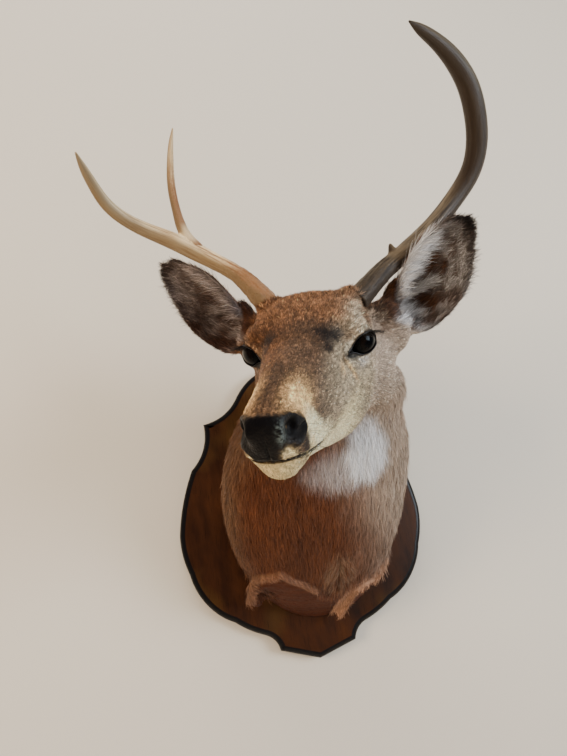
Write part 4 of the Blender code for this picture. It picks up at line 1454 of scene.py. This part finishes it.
# --- eyes ------------------------------------------------------------------------------
@dataclass(frozen=True)
class GlassFinish:
    """Nearly black glass with a dark brown iris and a level pupil."""

    iris: Triple = (0.005, 0.003, 0.002)
    rim: Triple = (0.002, 0.0015, 0.0015)
    pupil: Triple = (0.0015, 0.0015, 0.002)

    def material(self) -> bpy.types.Material:
        """The material of both eyes, whose map is drawn on the eye's own slit and height."""
        recipe = Recipe("eye_glass", roughness=0.05, specular_ior_level=0.16,
                        specular_tint=(0.42, 0.50, 0.55, 1.0))
        flat = recipe.node("ShaderNodeUVMap", {"uv_map": "gaze"})
        oval = recipe.length(recipe.stretched(flat, (1.0, 1.7, 1.0)))
        colour = recipe.mix(recipe.ramp(recipe.length(flat), 0.62, 0.74), self.iris, self.rim)
        recipe.feed("Base Color", recipe.mix(recipe.ramp(oval, 0.50, 0.44), colour, self.pupil))
        return recipe.material


@dataclass(frozen=True)
class PlainFinish:
    """A material that is the same all over."""

    name: str
    colour: Triple
    roughness: float
    metallic: float = 0.0

    def material(self) -> bpy.types.Material:
        """The material."""
        return Recipe(self.name, base_color=(*self.colour, 1.0), roughness=self.roughness,
                      metallic=self.metallic).material


LID_WAX = PlainFinish("lid_rim", (0.006, 0.005, 0.005), 0.35)
BRISTLE = PlainFinish("bristle", (0.008, 0.006, 0.005), 0.5)
ZINC = PlainFinish("zinc", (0.56, 0.57, 0.58), 0.38, 1.0)


@dataclass
class Eyes:
    """Both glass eyes and the black rims round them."""

    rim_radius: float = 0.65
    rim_steps: int = 72

    def build(self, skin: BVHTree) -> list[bpy.types.Object]:
        """Make the glass and the rims.

        Args:
            skin: The hide, on which the rims lie.

        Returns:
            The objects.
        """
        glass, wax = GlassFinish().material(), LID_WAX.material()
        made = []
        for name, side in SIDES.items():
            made.append(dress(self.ball(f"glass_eye_{name}", side), glass))
            made.append(dress(self.rim(f"lid_rim_{name}", side, skin), wax))
        return made

    @staticmethod
    def ball(name: str, side: float) -> bpy.types.Object:
        """One eye, with its map drawn along its slit and up."""
        middle, axes = EYE.standing(side)
        work = bmesh.new()
        bmesh.ops.create_uvsphere(work, u_segments=56, v_segments=36, radius=EYE.radius * MM)
        work.verts.index_update()
        work.faces.sort(key=face_rank)
        turn = Matrix(np.stack([axes[0], np.cross(axes[2], axes[0]), axes[2]], 1).tolist()).to_4x4()
        layer = work.loops.layers.uv.new("gaze")
        for face in work.faces:
            for loop in face.loops:
                place = loop.vert.co / (EYE.radius * MM)
                loop[layer].uv = place.x, place.y if place.z > 0 else place.y + 2.0
        bmesh.ops.transform(work, matrix=Matrix.Translation(middle) @ turn, verts=work.verts)
        mesh = worked(name, work)
        mesh.shade_smooth()
        return linked(name, mesh)

    def rim(self, name: str, side: float, skin: BVHTree) -> bpy.types.Object:
        """A closed loop of rim along the edge of the opening, laid on the hide.

        Args:
            name: Name of the piece.
            side: 1 for the left eye and -1 for the right one.
            skin: The hide.

        Returns:
            The object.
        """
        half = self.rim_steps // 2
        turn = np.linspace(0, np.pi, half, endpoint=False)
        centre, reach = (EYE.front + EYE.rear) / 2, (EYE.rear - EYE.front) / 2
        top, bottom = centre - reach * np.cos(turn), centre + reach * np.cos(turn)
        flat = np.concatenate([columns(top, EYE.edges(top)[0] + 0.5),
                               columns(bottom, EYE.edges(bottom)[1] - 0.5)])
        points = np.array([EYE.on_hide(skin, along, up, side) for along, up in flat])
        for _ in range(3):
            points = (np.roll(points, 1, 0) + 2 * points + np.roll(points, -1, 0)) / 4
        radius = np.where(np.arange(self.rim_steps) < half, 1.15, 0.8) * self.rim_radius * MM
        return ring_tube(name, points - EYE.standing(side)[1][2] * 0.35 * MM, radius, 8)


def face_rank(face: bmesh.types.BMFace) -> int:
    """A number by which the faces of a ball stand in the same order in each run."""
    first, second, third = sorted(vert.index for vert in face.verts)[:3]
    return (first * 10_000 + second) * 10_000 + third


def ring_tube(name: str, points: Array, radii: Array, sides: int) -> bpy.types.Object:
    """A tube round a closed loop of points.

    Args:
        name: Name of the piece.
        points: Rows of places along its middle.
        radii: Its radius at each.
        sides: How many vertices stand round it.

    Returns:
        The object.
    """
    ahead = unit(np.roll(points, -1, 0) - np.roll(points, 1, 0))
    outward = unit(points - points.mean(0))
    outward = unit(outward - ahead * (outward * ahead).sum(1)[:, None])
    places = rings(points, radii, outward, np.cross(ahead, outward), sides)
    return mesh_object(name, places, band(len(points), sides, closed=True))


# --- bristles and screws ---------------------------------------------------------------
class GrowthTree(NodeMaker):
    """A Geometry Nodes tree under construction."""

    def __init__(self, name: str, *inputs: str) -> None:
        """Start a tree with geometry and a material, and some named numbers, as its inputs.

        Args:
            name: The tree's name.
            inputs: Names of the numbers.
        """
        super().__init__(bpy.data.node_groups.new(name, "GeometryNodeTree"))
        face = self.tree.interface
        kinds = {"Geometry": "Geometry", **dict.fromkeys(inputs, "Float"), "Material": "Material"}
        for label, kind in kinds.items():
            face.new_socket(label, in_out="INPUT", socket_type=f"NodeSocket{kind}")
        face.new_socket("Geometry", in_out="OUTPUT", socket_type="NodeSocketGeometry")
        outputs = self.tree.nodes.new("NodeGroupInput").outputs
        self.given = {label: Wire(self, outputs[label]) for label in kinds}

    def named(self, label: str, kind: str = "FLOAT") -> Wire:
        """A number or vector stored on the points."""
        return self.node("GeometryNodeInputNamedAttribute", {"data_type": kind}, {"Name": label})

    def vector(self, **parts: Wire | float) -> Wire:
        """A vector from its parts."""
        return self.node("ShaderNodeCombineXYZ", inputs=parts)

    def close(self, instance: Wire, **inputs: Wire) -> "GrowthTree":
        """Set an instance on each point, realize them, give them their material and send them out.

        Args:
            instance: What stands on a point.
            inputs: How it is turned and scaled there.

        Returns:
            The tree.
        """
        points = self.node("GeometryNodeInstanceOnPoints",
                           inputs={"Points": self.given["Geometry"], "Instance": instance, **inputs})
        real = self.node("GeometryNodeRealizeInstances", inputs={"Geometry": points})
        finished = self.node("GeometryNodeSetMaterial",
                             inputs={"Geometry": real, "Material": self.given["Material"]})
        self.plug(self.tree.nodes.new("NodeGroupOutput").inputs["Geometry"], finished)
        return self

    def grown(self, name: str, points: Array, attributes: dict[str, Array],
              **inputs: object) -> bpy.types.Object:
        """Apply the tree to a cloud of points.

        Args:
            name: Name of the result.
            points: Rows of places.
            attributes: Numbers or vectors stored on the points.
            inputs: Values of the tree's named inputs, in small letters.

        Returns:
            A mesh object.
        """
        thing = mesh_object(name, points, [])
        for label, values in attributes.items():
            kind, what = ("FLOAT_VECTOR", "vector") if values.ndim == 2 else ("FLOAT", "value")
            fill(thing.data.attributes.new(label, kind, "POINT").data, what, values)
        modifier = thing.modifiers.new("Grow", "NODES")
        modifier.node_group = self.tree
        for item in self.tree.interface.items_tree:
            key = item.name.lower()
            if item.item_type == "SOCKET" and item.in_out == "INPUT" and key in inputs:
                modifier[item.identifier] = inputs[key]
        return linked(name, evaluated_mesh(thing))


def bristle_tree() -> GrowthTree:
    """Curved tapered bristles, each on a point that stores its aim and its reach."""
    tree = GrowthTree("bristles", "Thickness", "Curl")
    line = tree.node("GeometryNodeCurvePrimitiveLine", inputs={"End": (0.0, 0.0, 1.0)})
    line = tree.node("GeometryNodeResampleCurve", inputs={"Curve": line, "Count": 7})
    part = tree.node("GeometryNodeSplineParameter")
    offset = tree.vector(X=part**2.0 * tree.given["Curl"])
    line = tree.node("GeometryNodeSetPosition", inputs={"Geometry": line, "Offset": offset})
    line = tree.node("GeometryNodeSetCurveRadius", inputs={"Curve": line, "Radius": (1.02 - part) ** 0.8})
    ring = tree.node("GeometryNodeCurvePrimitiveCircle",
                     inputs={"Resolution": 5, "Radius": tree.given["Thickness"]})
    hair = {"Curve": line, "Profile Curve": ring, "Fill Caps": True}
    hair = tree.node("GeometryNodeCurveToMesh", inputs=hair)
    aim = {"Vector": tree.named("aim", "FLOAT_VECTOR")}
    turn = tree.node("FunctionNodeAlignEulerToVector", {"axis": "Z"}, aim)
    return tree.close(hair, Rotation=turn, Scale=tree.named("reach"))


def screw_tree() -> GrowthTree:
    """Flat screw heads, lying in the plane of the wall, each with its slot."""
    tree = GrowthTree("screws", "Radius", "Height")
    radius, height = tree.given["Radius"], tree.given["Height"]
    head = tree.node("GeometryNodeMeshCylinder", inputs={"Vertices": 28, "Radius": radius, "Depth": height})
    size = tree.vector(X=radius * 2.4, Y=radius * 0.26, Z=height)
    bar = tree.node("GeometryNodeMeshCube", inputs={"Size": size})
    rise = tree.vector(Z=height * 0.6)
    bar = tree.node("GeometryNodeTransform", inputs={"Geometry": bar, "Translation": rise})
    head = tree.node("GeometryNodeMeshBoolean", {"operation": "DIFFERENCE"}, {"Mesh 1": head, "Mesh 2": bar})
    return tree.close(head, Rotation=tree.vector(X=-math.pi / 2, Y=tree.named("twist")))


@dataclass
class Bristles:
    """Lashes of the upper lids, and the sparse whiskers of lips, chin and brow."""

    lashes: int = 62
    whiskers: int = 13
    seed: int = 23

    def build(self, skin: BVHTree) -> list[bpy.types.Object]:
        """Grow both kinds on the hide.

        Args:
            skin: The hide.

        Returns:
            The objects.
        """
        tree, dark = bristle_tree(), BRISTLE.material()
        random = np.random.default_rng(self.seed)
        made = []
        for name, side in SIDES.items():
            for kind, roots, thickness, curl in (("lashes", self.lash_roots, 0.012, 0.22),
                                                 ("whiskers", self.whisker_roots, 0.005, 0.2)):
                points, aims, reach = (np.array(rows) for rows in zip(*roots(skin, side, random)))
                made.append(tree.grown(f"{kind}_{name}", points, {"aim": unit(aims), "reach": reach * MM},
                                       thickness=thickness, curl=curl, material=dark))
        return made

    def lash_roots(self, skin: BVHTree, side: float, random: np.random.Generator) -> list[tuple]:
        """Where the lashes of one eye stand.

        Args:
            skin: The hide.
            side: 1 for the left eye and -1 for the right one.
            random: Where chance comes from.

        Returns:
            A root, a direction and a length in mm for each.
        """
        ahead, above, out = EYE.standing(side)[1]
        made = []
        for along in np.linspace(-6, EYE.rear - 0.8, self.lashes) + random.normal(0, 0.4, self.lashes):
            up = EYE.edges(np.array([along]))[0][0] + 0.6
            root = EYE.on_hide(skin, along, up, side)
            if root is None:
                continue
            sweep = 0.3 + along / 12 if side > 0 else -0.25 + along / 30
            aim = out * (0.8 + random.normal(0, 0.15)) + above * random.normal(-0.30, 0.22) + ahead * sweep
            made.append((root - out * SINK, aim, 7.0 + 0.42 * max(along, 0) + random.normal(0, 1.3)))
        return made

    def whisker_roots(self, skin: BVHTree, side: float, random: np.random.Generator) -> list[tuple]:
        """Where the whiskers of one side stand.

        Args:
            skin: The hide.
            side: 1 for the left side and -1 for the right one.
            random: Where chance comes from.

        Returns:
            A root, a direction and a length in mm for each.
        """
        regions = (((26, 34, -46), (3, 14, 6), 0.7), ((12, 14, -54), (6, 5, 3), 0.2),
                   ((31, 170, 0), (3, 6, 3), 0.1))
        flip = np.array([side, 1.0, 1.0])
        back = POSE.turned(np.array([0.0, 0.8, -0.5]) * flip)
        made = []
        for middle, spread, share in regions:
            for _ in range(int(self.whiskers * share) + 1):
                place = np.array(middle) + random.normal(0, 1, 3) * spread
                root, normal, *_ = skin.find_nearest(Vector(POSE.from_head(place * flip)))
                root, normal = np.array(root), np.array(normal)
                aim = normal + back * 0.6 + random.normal(0, 0.15, 3)
                made.append((root - normal * SINK, aim, random.uniform(9, 19)))
        return made


# --- antlers ---------------------------------------------------------------------------
@dataclass(frozen=True)
class AntlerFinish:
    """Antler with darker lengthwise grain, a rough brown base, and painted shade on the side turned away from
    the light.
    """

    pale: Array
    olive: Array
    brown: Array
    tip: Array
    # colour of the painted shade on the side turned away from the light
    painted_shade: Array

    def material(self) -> bpy.types.Material:
        """The material of one antler, whose map runs along and round the beam."""
        recipe = Recipe("antler", specular_ior_level=0.4)
        grain = recipe.node("ShaderNodeUVMap", {"uv_map": "grain"})
        fine = recipe.noise(recipe.stretched(grain, (22.0, 330.0, 1.0)), 1.0, 4.0, 0.6)
        broad = recipe.noise(recipe.stretched(grain, (14.0, 60.0, 1.0)), 1.0, 3.0)
        specks = recipe.noise(recipe.object_place(), 420.0, 3.0, 0.6)
        colour = recipe.mix(recipe.ramp(broad, 0.35, 0.68), self.pale, self.olive)
        colour = recipe.mix(recipe.ramp(fine, 0.47, 0.62, 0.0, 0.85), colour, self.brown)
        colour = recipe.mix(recipe.ramp(specks, 0.60, 0.75, 0.0, 0.35), colour, self.brown * 0.7)
        rough = recipe.attribute("base")
        colour = recipe.mix(recipe.ramp(rough + 0.5 * specks, 0.45, 1.15, 0.0, 0.9), colour, self.brown)
        colour = recipe.mix(recipe.ramp(rough, 0.0, -0.8, 0.0, 0.65), colour, self.tip)
        colour = recipe.mix(recipe.attribute("web") * 0.6, colour, self.pale)
        # painted shade: darker where the surface turns away from the light above
        recipe.feed("Base Color", recipe.mix(recipe.attribute("under") * 0.85, colour, self.painted_shade))
        recipe.feed("Roughness", recipe.ramp(fine, 0.3, 0.7, 0.42, 0.62))
        recipe.bump(fine * -0.7 + 0.3 * specks + 1.4 * specks * recipe.ramp(rough, 0.0, 1.0), 0.0009)
        return recipe.material


WEATHERED = AntlerFinish(pale=tone(118, 102, 80), olive=tone(68, 56, 42), brown=tone(28, 20, 14),
                         tip=tone(84, 74, 56), painted_shade=tone(44, 32, 22))
GOLDEN = AntlerFinish(pale=tone(255, 230, 182), olive=tone(220, 180, 126), brown=tone(134, 86, 50),
                      tip=tone(172, 156, 124), painted_shade=tone(120, 98, 68))


@dataclass(frozen=True)
class Beam:
    """One stretch of antler, from its root to its tip: stations of its place and its radius in mm."""

    stations: tuple[tuple[float, float, float, float], ...]
    steps: int
    sides: int
    rough: float
    seed: int

    def tube(self, name: str) -> bpy.types.Object:
        """A closed tube with grooves and pearling, with its grain map.

        Args:
            name: Name of the object.

        Returns:
            The object, whose attribute "base" is 1 at the rough root and -1 at the tip.
        """
        rows, reach = spline(in_metres(*self.stations), self.steps)
        angle = np.linspace(0, 2 * np.pi, self.sides, endpoint=False)
        along, turn = np.meshgrid(reach, angle, indexing="ij")
        ring = columns(np.cos(turn) * 2.2, np.sin(turn) * 2.2, along * 14).reshape(-1, 3)
        grooves = layered(ring, 81 + self.seed).reshape(along.shape)
        pearls = layered(ring * np.array([2.4, 2.4, 16]), 91 + self.seed, 2).reshape(along.shape)
        base = smooth(0.105, 0.035, along) * self.rough
        tip = smooth(0.35, 1.0, along / reach[-1]) * (base == 0)
        radii = rows[:, 3:] * (1 + 0.050 * grooves + 0.10 * base * pearls + 0.10 * base**2)
        first = np.array([0.0, 1.0, 0.1])
        thing = mesh_object(name, *swept(rows[:, :3], np.maximum(radii, 0.0004), self.sides, first))
        value_attribute(thing.data, "base", np.append((base - tip).ravel(), [base[0, 0], -1.0]))
        self.map_grain(thing.data, reach)
        return thing

    def map_grain(self, mesh: bpy.types.Mesh, reach: Array) -> None:
        """Draw the map of the grain.

        Args:
            mesh: The tube.
            reach: How far along the beam each ring lies.
        """
        layer = mesh.uv_layers.new(name="grain")
        turn = 2 * np.pi / self.sides * 0.010
        for polygon in mesh.polygons:
            numbers = [mesh.loops[i].vertex_index for i in polygon.loop_indices]
            wraps = [number % self.sides for number in numbers]
            over = max(wraps) - min(wraps) > 1
            for i, number, wrap in zip(polygon.loop_indices, numbers, wraps):
                along = reach[min(number // self.sides, self.steps - 1)] + 0.37 * self.seed
                layer.data[i].uv = along, turn * (wrap + self.sides * (over and wrap == 0))


LEFT_BEAM = Beam(((46, -346, 189, 12.5), (56, -346, 198, 12.2), (84, -341, 224, 11.4),
                  (116, -338, 248, 11.2), (157, -339, 281, 11.0), (188, -347, 312, 11.2),
                  (206, -362, 337, 11.7), (209, -381, 359, 12.2), (203, -400, 378, 12.3),
                  (190, -421, 399, 11.6), (168, -441, 415, 9.8), (140, -458, 426, 7.0),
                  (122, -467, 430, 4.4), (111, -473, 431.5, 0.9)), 190, 40, 0.6, 1)
BROW_NUB = Beam(((101, -338, 236, 8.0), (98.5, -342, 248, 5.6), (96, -345, 256.5, 1.4)), 24, 20, 0.0, 2)
RIGHT_BEAM = Beam(((-45, -311, 205, 12.0), (-53, -312, 216, 11.8), (-74, -306, 247, 9.8),
                   (-103, -303, 271, 9.8), (-125, -303, 286, 10.4), (-141, -306, 295, 10.2),
                   (-165, -313, 304.5, 9.0), (-195, -328, 315, 7.7), (-214, -345, 326, 6.9),
                   (-223.5, -364, 337, 5.7), (-229.5, -382, 346, 4.0), (-233.3, -396, 353.6, 0.9)),
                  160, 36, 1.0, 3)
RIGHT_TINE = Beam(((-112, -303.5, 280, 5.0), (-122, -304.8, 288.5, 8.2), (-131, -306.5, 301.5, 7.8),
                   (-136.8, -308, 317, 6.2), (-140.5, -310, 336, 5.2), (-143.9, -311, 369, 4.9),
                   (-142.7, -313, 404, 4.0), (-140, -316, 427, 2.8), (-136.5, -319, 445.2, 0.8)),
                  90, 24, 0.0, 4)


@dataclass
class Antlers:
    """Both antlers, each one piece with its point."""

    fillet: float = 0.011
    # direction of the light that the painted shade turns away from
    above: Triple = (0.42, -0.25, 0.87)

    def build(self) -> list[bpy.types.Object]:
        """Make them, the left one first."""
        left = self.antler("antler_skin_left", LEFT_BEAM, BROW_NUB, 1, WEATHERED)
        right = self.antler("antler_skin_right", RIGHT_BEAM, RIGHT_TINE, 2, GOLDEN)
        return [left, right]

    def antler(self, name: str, beam: Beam, point: Beam, fork: int, finish: AntlerFinish) -> bpy.types.Object:
        """Beam and point as one surface, eased where they meet.

        Args:
            name: Name of the piece.
            beam: The main beam.
            point: The point that grows from it.
            fork: Which station of the point lies at the beam's surface.
            finish: What it is made of.

        Returns:
            The object.
        """
        mesh = joined(beam.tube("beam"), "UNION", point.tube("point"))
        places = vertex_places(mesh)
        away = np.linalg.norm(places - in_metres(*point.stations)[fork, :3], axis=1)
        near = smooth(self.fillet * 1.8, self.fillet * 0.7, away)
        place_vertices(mesh, relaxed(places, edge_pairs(mesh), (0.5, -0.2) * 24, near))
        mesh.shade_smooth()
        value_attribute(mesh, "web", near)
        # painted shade: 1 where the normal turns away from the light above, 0 where it faces it
        value_attribute(mesh, "under", smooth(0.50, -0.25, vertex_normals(mesh) @ self.above))
        return dress(linked(name, mesh), finish.material())


# --- the plaque ------------------------------------------------------------------------
@dataclass(frozen=True)
class WalnutFinish:
    """Dark stained walnut under satin varnish, with a black moulded edge."""

    dark: Array = field(default_factory=lambda: tone(40, 20, 9))
    brown: Array = field(default_factory=lambda: tone(70, 39, 18))
    gold: Array = field(default_factory=lambda: tone(88, 62, 28))
    black: Triple = (0.006, 0.005, 0.005)

    def material(self) -> bpy.types.Material:
        """The material of the board."""
        recipe = Recipe("walnut", coat_weight=0.09, coat_roughness=0.25, specular_ior_level=0.16)
        place = recipe.object_place()
        shift = {0: recipe.noise(place, 9.0, 2.0, 0.5, "Color"), 1: (0.05, 0.0, 0.03), 2: place}
        bent = recipe.node("ShaderNodeVectorMath", {"operation": "MULTIPLY_ADD"}, shift)
        figure = recipe.noise(recipe.stretched(bent, (1.0, 1.0, 0.30)), 42.0, 4.0, 0.6)
        pores = recipe.noise(recipe.stretched(place, (1.0, 1.0, 0.05)), 900.0, 2.0)
        colour = recipe.mix(recipe.ramp(figure, 0.30, 0.70), self.dark, self.brown)
        patch = recipe.ramp(recipe.noise(place, 11.0, 2.0), 0.5, 0.68, 0.0, 0.55)
        colour = recipe.mix(patch, colour, self.gold)
        colour = recipe.mix(recipe.ramp(pores, 0.60, 0.70, 0.0, 0.6), colour, self.dark * 0.5)
        moulding = recipe.ramp(recipe.attribute("edge"), 0.0088, 0.0078)
        recipe.feed("Base Color", recipe.mix(moulding, colour, self.black))
        recipe.feed("Roughness", recipe.ramp(figure, 0.3, 0.7, 0.42, 0.30))
        recipe.bump(figure * 0.5 + pores * -0.5, 0.0004, 0.6)
        return recipe.material


@dataclass
class Plaque:
    """The shaped board with its moulded edge and the pocket for its hanger."""

    width: float = 0.375
    height: float = 0.447
    thick: float = 0.022
    round_edge: float = 0.0075
    pocket: Triple = (0.0466, 0.0066, 0.0706)
    pocket_height: float = 0.120

    @property
    def corners(self) -> Array:
        """Rows of half the outline from its lowest point to its top: across, up, and the bulge after it."""
        return np.array([(0.0, 0.0, 0.0), (0.0557, 0.0175, -0.004), (0.075, 0.0410, 0.002),
                         (0.118, 0.0645, 0.002), (0.150, 0.087, 0.004), (0.177, 0.138, 0.003),
                         (self.width / 2, 0.195, 0.004), (0.162, 0.291, -0.004), (0.1385, 0.334, -0.001),
                         (0.138, 0.361, -0.009), (0.080, 0.403, 0.0125), (0.0, self.height, 0.0)])

    def outline(self) -> Array:
        """The whole outline, anticlockwise from in front, starting at the lowest point."""
        half = []
        for start, end in zip(self.corners, self.corners[1:]):
            chord = (end - start)[:2]
            out = unit(np.array([chord[1], -chord[0]]))
            for part in np.linspace(0, 1, 10, endpoint=False):
                half.append(start[:2] + chord * part + out * start[2] * 4 * part * (1 - part))
        half = np.array(half)
        whole = np.concatenate([half, [[0.0, self.height]], half[:0:-1] * np.array([-1, 1])])
        return whole - np.array([0, self.height / 2])

    @staticmethod
    def inward(outline: Array) -> tuple[Array, Array]:
        """Where the edge's moulding can go.

        Args:
            outline: Rows of the outline's places.

        Returns:
            The way in from each of them, and how far it leads before another side is nearer.
        """
        before, after = unit(outline - np.roll(outline, 1, 0)), unit(np.roll(outline, -1, 0) - outline)
        ahead = unit(before + after)
        way = columns(-ahead[:, 1], ahead[:, 0])
        lean = np.clip((before * ahead).sum(1), 0.5, 1)
        side = np.roll(outline, -1, 0) - outline
        room = np.full(len(outline), 0.03)
        for reach in np.arange(0.0095, 0.0, -0.0005):
            offset = (outline + way * (reach / lean)[:, None])[:, None] - outline[None]
            part = held((offset * side[None]).sum(2) / (side**2).sum(1)[None])
            gap = np.linalg.norm(offset - part[..., None] * side[None], axis=2).min(1)
            room = np.where(gap < reach * 0.97 - 0.0001, reach - 0.0005, room)
        return way / lean[:, None], room

    def profile(self) -> list[tuple[float, float]]:
        """Inset and depth of each ring of the edge, from the back to the front."""
        straight = self.thick - self.round_edge
        rows = [(0.001, 0.0), (0.0, 0.0), (0.0, -straight)]
        for turn in np.linspace(0, np.pi / 2, 9)[1:]:
            inset, depth = (1 - math.cos(turn)) * self.round_edge, math.sin(turn) * self.round_edge
            rows.append((inset, -straight - depth))
        return rows + [(0.0085, -self.thick), (0.0095, -self.thick)]

    def build(self) -> bpy.types.Object:
        """Make the board."""
        outline = self.outline()
        inward, room = self.inward(outline)
        profile, count = self.profile(), len(outline)
        places = []
        for inset, depth in profile:
            ring = outline + inward * np.minimum(inset, room)[:, None]
            places.append(columns(ring[:, 0], depth, ring[:, 1]))
        front = (len(profile) - 1) * count
        caps = [list(range(front, front + count)), list(range(count - 1, -1, -1))]
        board = mesh_object("board", np.concatenate(places), band(len(profile), count) + caps)
        insets = [self.thick, *(inset for inset, _ in profile[1:])]
        value_attribute(board.data, "edge", np.repeat(insets, count))
        mesh = joined(board, "DIFFERENCE", self.cutter())
        mesh.set_sharp_from_angle(angle=math.radians(40))
        return dress(linked("walnut_board", mesh), WalnutFinish().material())

    def cutter(self) -> bpy.types.Object:
        """The block that the pocket is cut with."""
        work = bmesh.new()
        bmesh.ops.create_cube(work, size=1.0)
        bmesh.ops.scale(work, vec=self.pocket, verts=work.verts)
        bmesh.ops.translate(work, vec=(0, 0, self.pocket_height), verts=work.verts)
        return linked("pocket", worked("pocket", work))


@dataclass
class Hanger:
    """The steel keyhole plate on the back, held by four flat screws."""

    screw_radius: float = 0.0031
    screw_height: float = 0.0008
    spacing: tuple[float, float] = (0.0165, 0.028)
    middle: float = 0.120
    twists: tuple[float, ...] = (0.3, 1.1, 2.0, 2.7)

    def build(self) -> bpy.types.Object:
        """Paint the plate and set the screws in it."""
        zinc = ZINC.material()
        dress(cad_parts["hanger_plate"], zinc)
        across, up = self.spacing
        points = np.array([[x, -0.0005, self.middle + z] for x in (-across, across) for z in (-up, up)])
        return screw_tree().grown("hanger_screws", points, {"twist": np.array(self.twists)},
                                  radius=self.screw_radius, height=self.screw_height, material=zinc)


# --- stage -----------------------------------------------------------------------------
class Light(Enum):
    """Area lights: place, target, size in m, power in W, colour, and whether gloss shows it."""

    WINDOW = ((1.55, -1.65, 0.15), (0.0, -0.25, 0.1), 0.9, 38.0, (0.86, 0.93, 1.0), True)
    LAMP = ((-1.5, -1.4, 0.3), (0.0, -0.25, 0.05), 0.8, 30.0, (1.0, 0.80, 0.58), False)
    FRONT = ((0.1, -2.6, 0.9), (0.0, -0.2, 0.1), 1.8, 16.0, (1.0, 0.97, 0.93), False)
    TOP = ((-0.2, -0.8, 2.0), (0.0, -0.2, 0.1), 1.2, 20.0, (1.0, 0.97, 0.92), False)

    def build(self) -> None:
        """Hang the lamp."""
        place, target, size, power, colour, shown = self.value
        made = bpy.data.lights.new(self.name.lower(), "AREA")
        made.size, made.energy, made.color = size, power, colour
        thing = linked(made.name, made)
        thing.location = place
        thing.visible_glossy = shown
        thing.rotation_euler = (Vector(place) - Vector(target)).to_track_quat("Z", "Y").to_euler()


@dataclass
class Stage:
    """A pale wall and floor, soft lights and the camera."""

    wall_colour: Array = field(default_factory=lambda: tone(232, 222, 206))
    floor_height: float = -1.70
    room_colour: Triple = (0.86, 0.90, 1.0)
    room_light: float = 0.20
    camera_place: Triple = (-0.1184, -0.882, -0.0423)
    camera_right: Triple = (0.987, -0.0993, -0.1264)
    camera_up: Triple = (0.0939, -0.2826, 0.9546)
    lens: float = 26.0

    def build(self) -> None:
        """Put everything in place."""
        self.plane("wall", (0, 0.0015, 0.0), (math.pi / 2, 0, 0), 7.0)
        self.plane("floor", (0, -1.5, self.floor_height), (0, 0, 0), 9.0)
        for light in Light:
            light.build()
        world = bpy.data.worlds.new("room")
        world.use_nodes = True
        sky = world.node_tree.nodes["Background"].inputs
        sky["Color"].default_value = (*self.room_colour, 1.0)
        sky["Strength"].default_value = self.room_light
        bpy.context.scene.world = world
        self.camera()

    def plane(self, name: str, place: Triple, turn: Triple, size: float) -> None:
        """One flat backdrop, seen from its front only.

        Args:
            name: Name of the backdrop and of its material.
            place: Its middle.
            turn: Its turn from level, as Euler angles.
            size: The length of a side.
        """
        recipe = Recipe(name, base_color=(*self.wall_colour, 1.0), roughness=0.9, specular_ior_level=0.2)
        shades = {0: recipe.node("ShaderNodeNewGeometry", output="Backfacing"),
                  1: Wire(recipe, recipe.shader.outputs[0]), 2: recipe.node("ShaderNodeBsdfTransparent")}
        surface = recipe.tree.nodes["Material Output"].inputs["Surface"]
        recipe.plug(surface, recipe.node("ShaderNodeMixShader", inputs=shades))
        corners = np.array([(-1, -1, 0), (1, -1, 0), (1, 1, 0), (-1, 1, 0)]) * size / 2
        turned = corners @ np.array(Euler(turn).to_matrix()).T + np.array(place)
        thing = dress(mesh_object(name, turned, [(0, 1, 2, 3)]), recipe.material)

    def camera(self) -> None:
        """The camera, a little below the head and turned a little on its own axis."""
        made = bpy.data.cameras.new("camera")
        made.lens = self.lens
        thing = linked("camera", made)
        right, up = Vector(self.camera_right).normalized(), Vector(self.camera_up)
        up = (up - right * up.dot(right)).normalized()
        turned = Matrix((right, up, right.cross(up))).transposed().to_4x4()
        thing.matrix_world = Matrix.Translation(self.camera_place) @ turned
        bpy.context.scene.camera = thing


# --- the whole mount -------------------------------------------------------------------
@dataclass
class DeerMount:
    """The mount, put together and tied to the frame."""

    tufts: TuftPlan = field(default_factory=TuftPlan)

    def build(self) -> None:
        """Make every piece and tie it."""
        hide = Hide().build()
        coat = Coat(hide, self.tufts)
        skin = BVHTree.FromPolygons(vertex_places(hide.data).tolist(), coat.triangles.tolist())
        self.tie(hide, "coat", *FLESH_NODES)
        hair = HairFinish().material()
        for piece in coat.build():
            self.tie(dress(piece, hair), "ear_coat" if "ear" in piece.name else "coat")
        for piece in Eyes().build(skin):
            side = piece.name.rsplit("_", 1)[1]
            self.tie(piece, "eye_glass", *([f"eye_{side}"] if piece.name.startswith("glass") else []))
        for piece in Bristles().build(skin):
            self.tie(piece, "coat")
        left, right = Antlers().build()
        self.tie(left, "antler", "antler_left")
        self.tie(right, "antler", "antler_right_base", "antler_right_beam", "antler_right_tine")
        self.tie(Plaque().build(), "walnut", "plaque")
        self.tie(Hanger().build(), "hanger_steel")

    @staticmethod
    def tie(piece: bpy.types.Object, slot: str, *nodes: str) -> None:
        """Tie a piece to the body, hide the nodes it stands for, and log its triangles."""
        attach(piece, BODY)
        if nodes:
            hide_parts(*nodes)
        piece.data.calc_loop_triangles()
        log.info("%s: %d triangles", piece.name, len(piece.data.loop_triangles))


def main() -> None:
    """Build the scene and log the size of each piece."""
    logging.basicConfig(level=logging.INFO, format="%(name)s: %(message)s")
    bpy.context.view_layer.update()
    DeerMount().build()
    Stage().build()


if __name__ == "__main__":
    main()
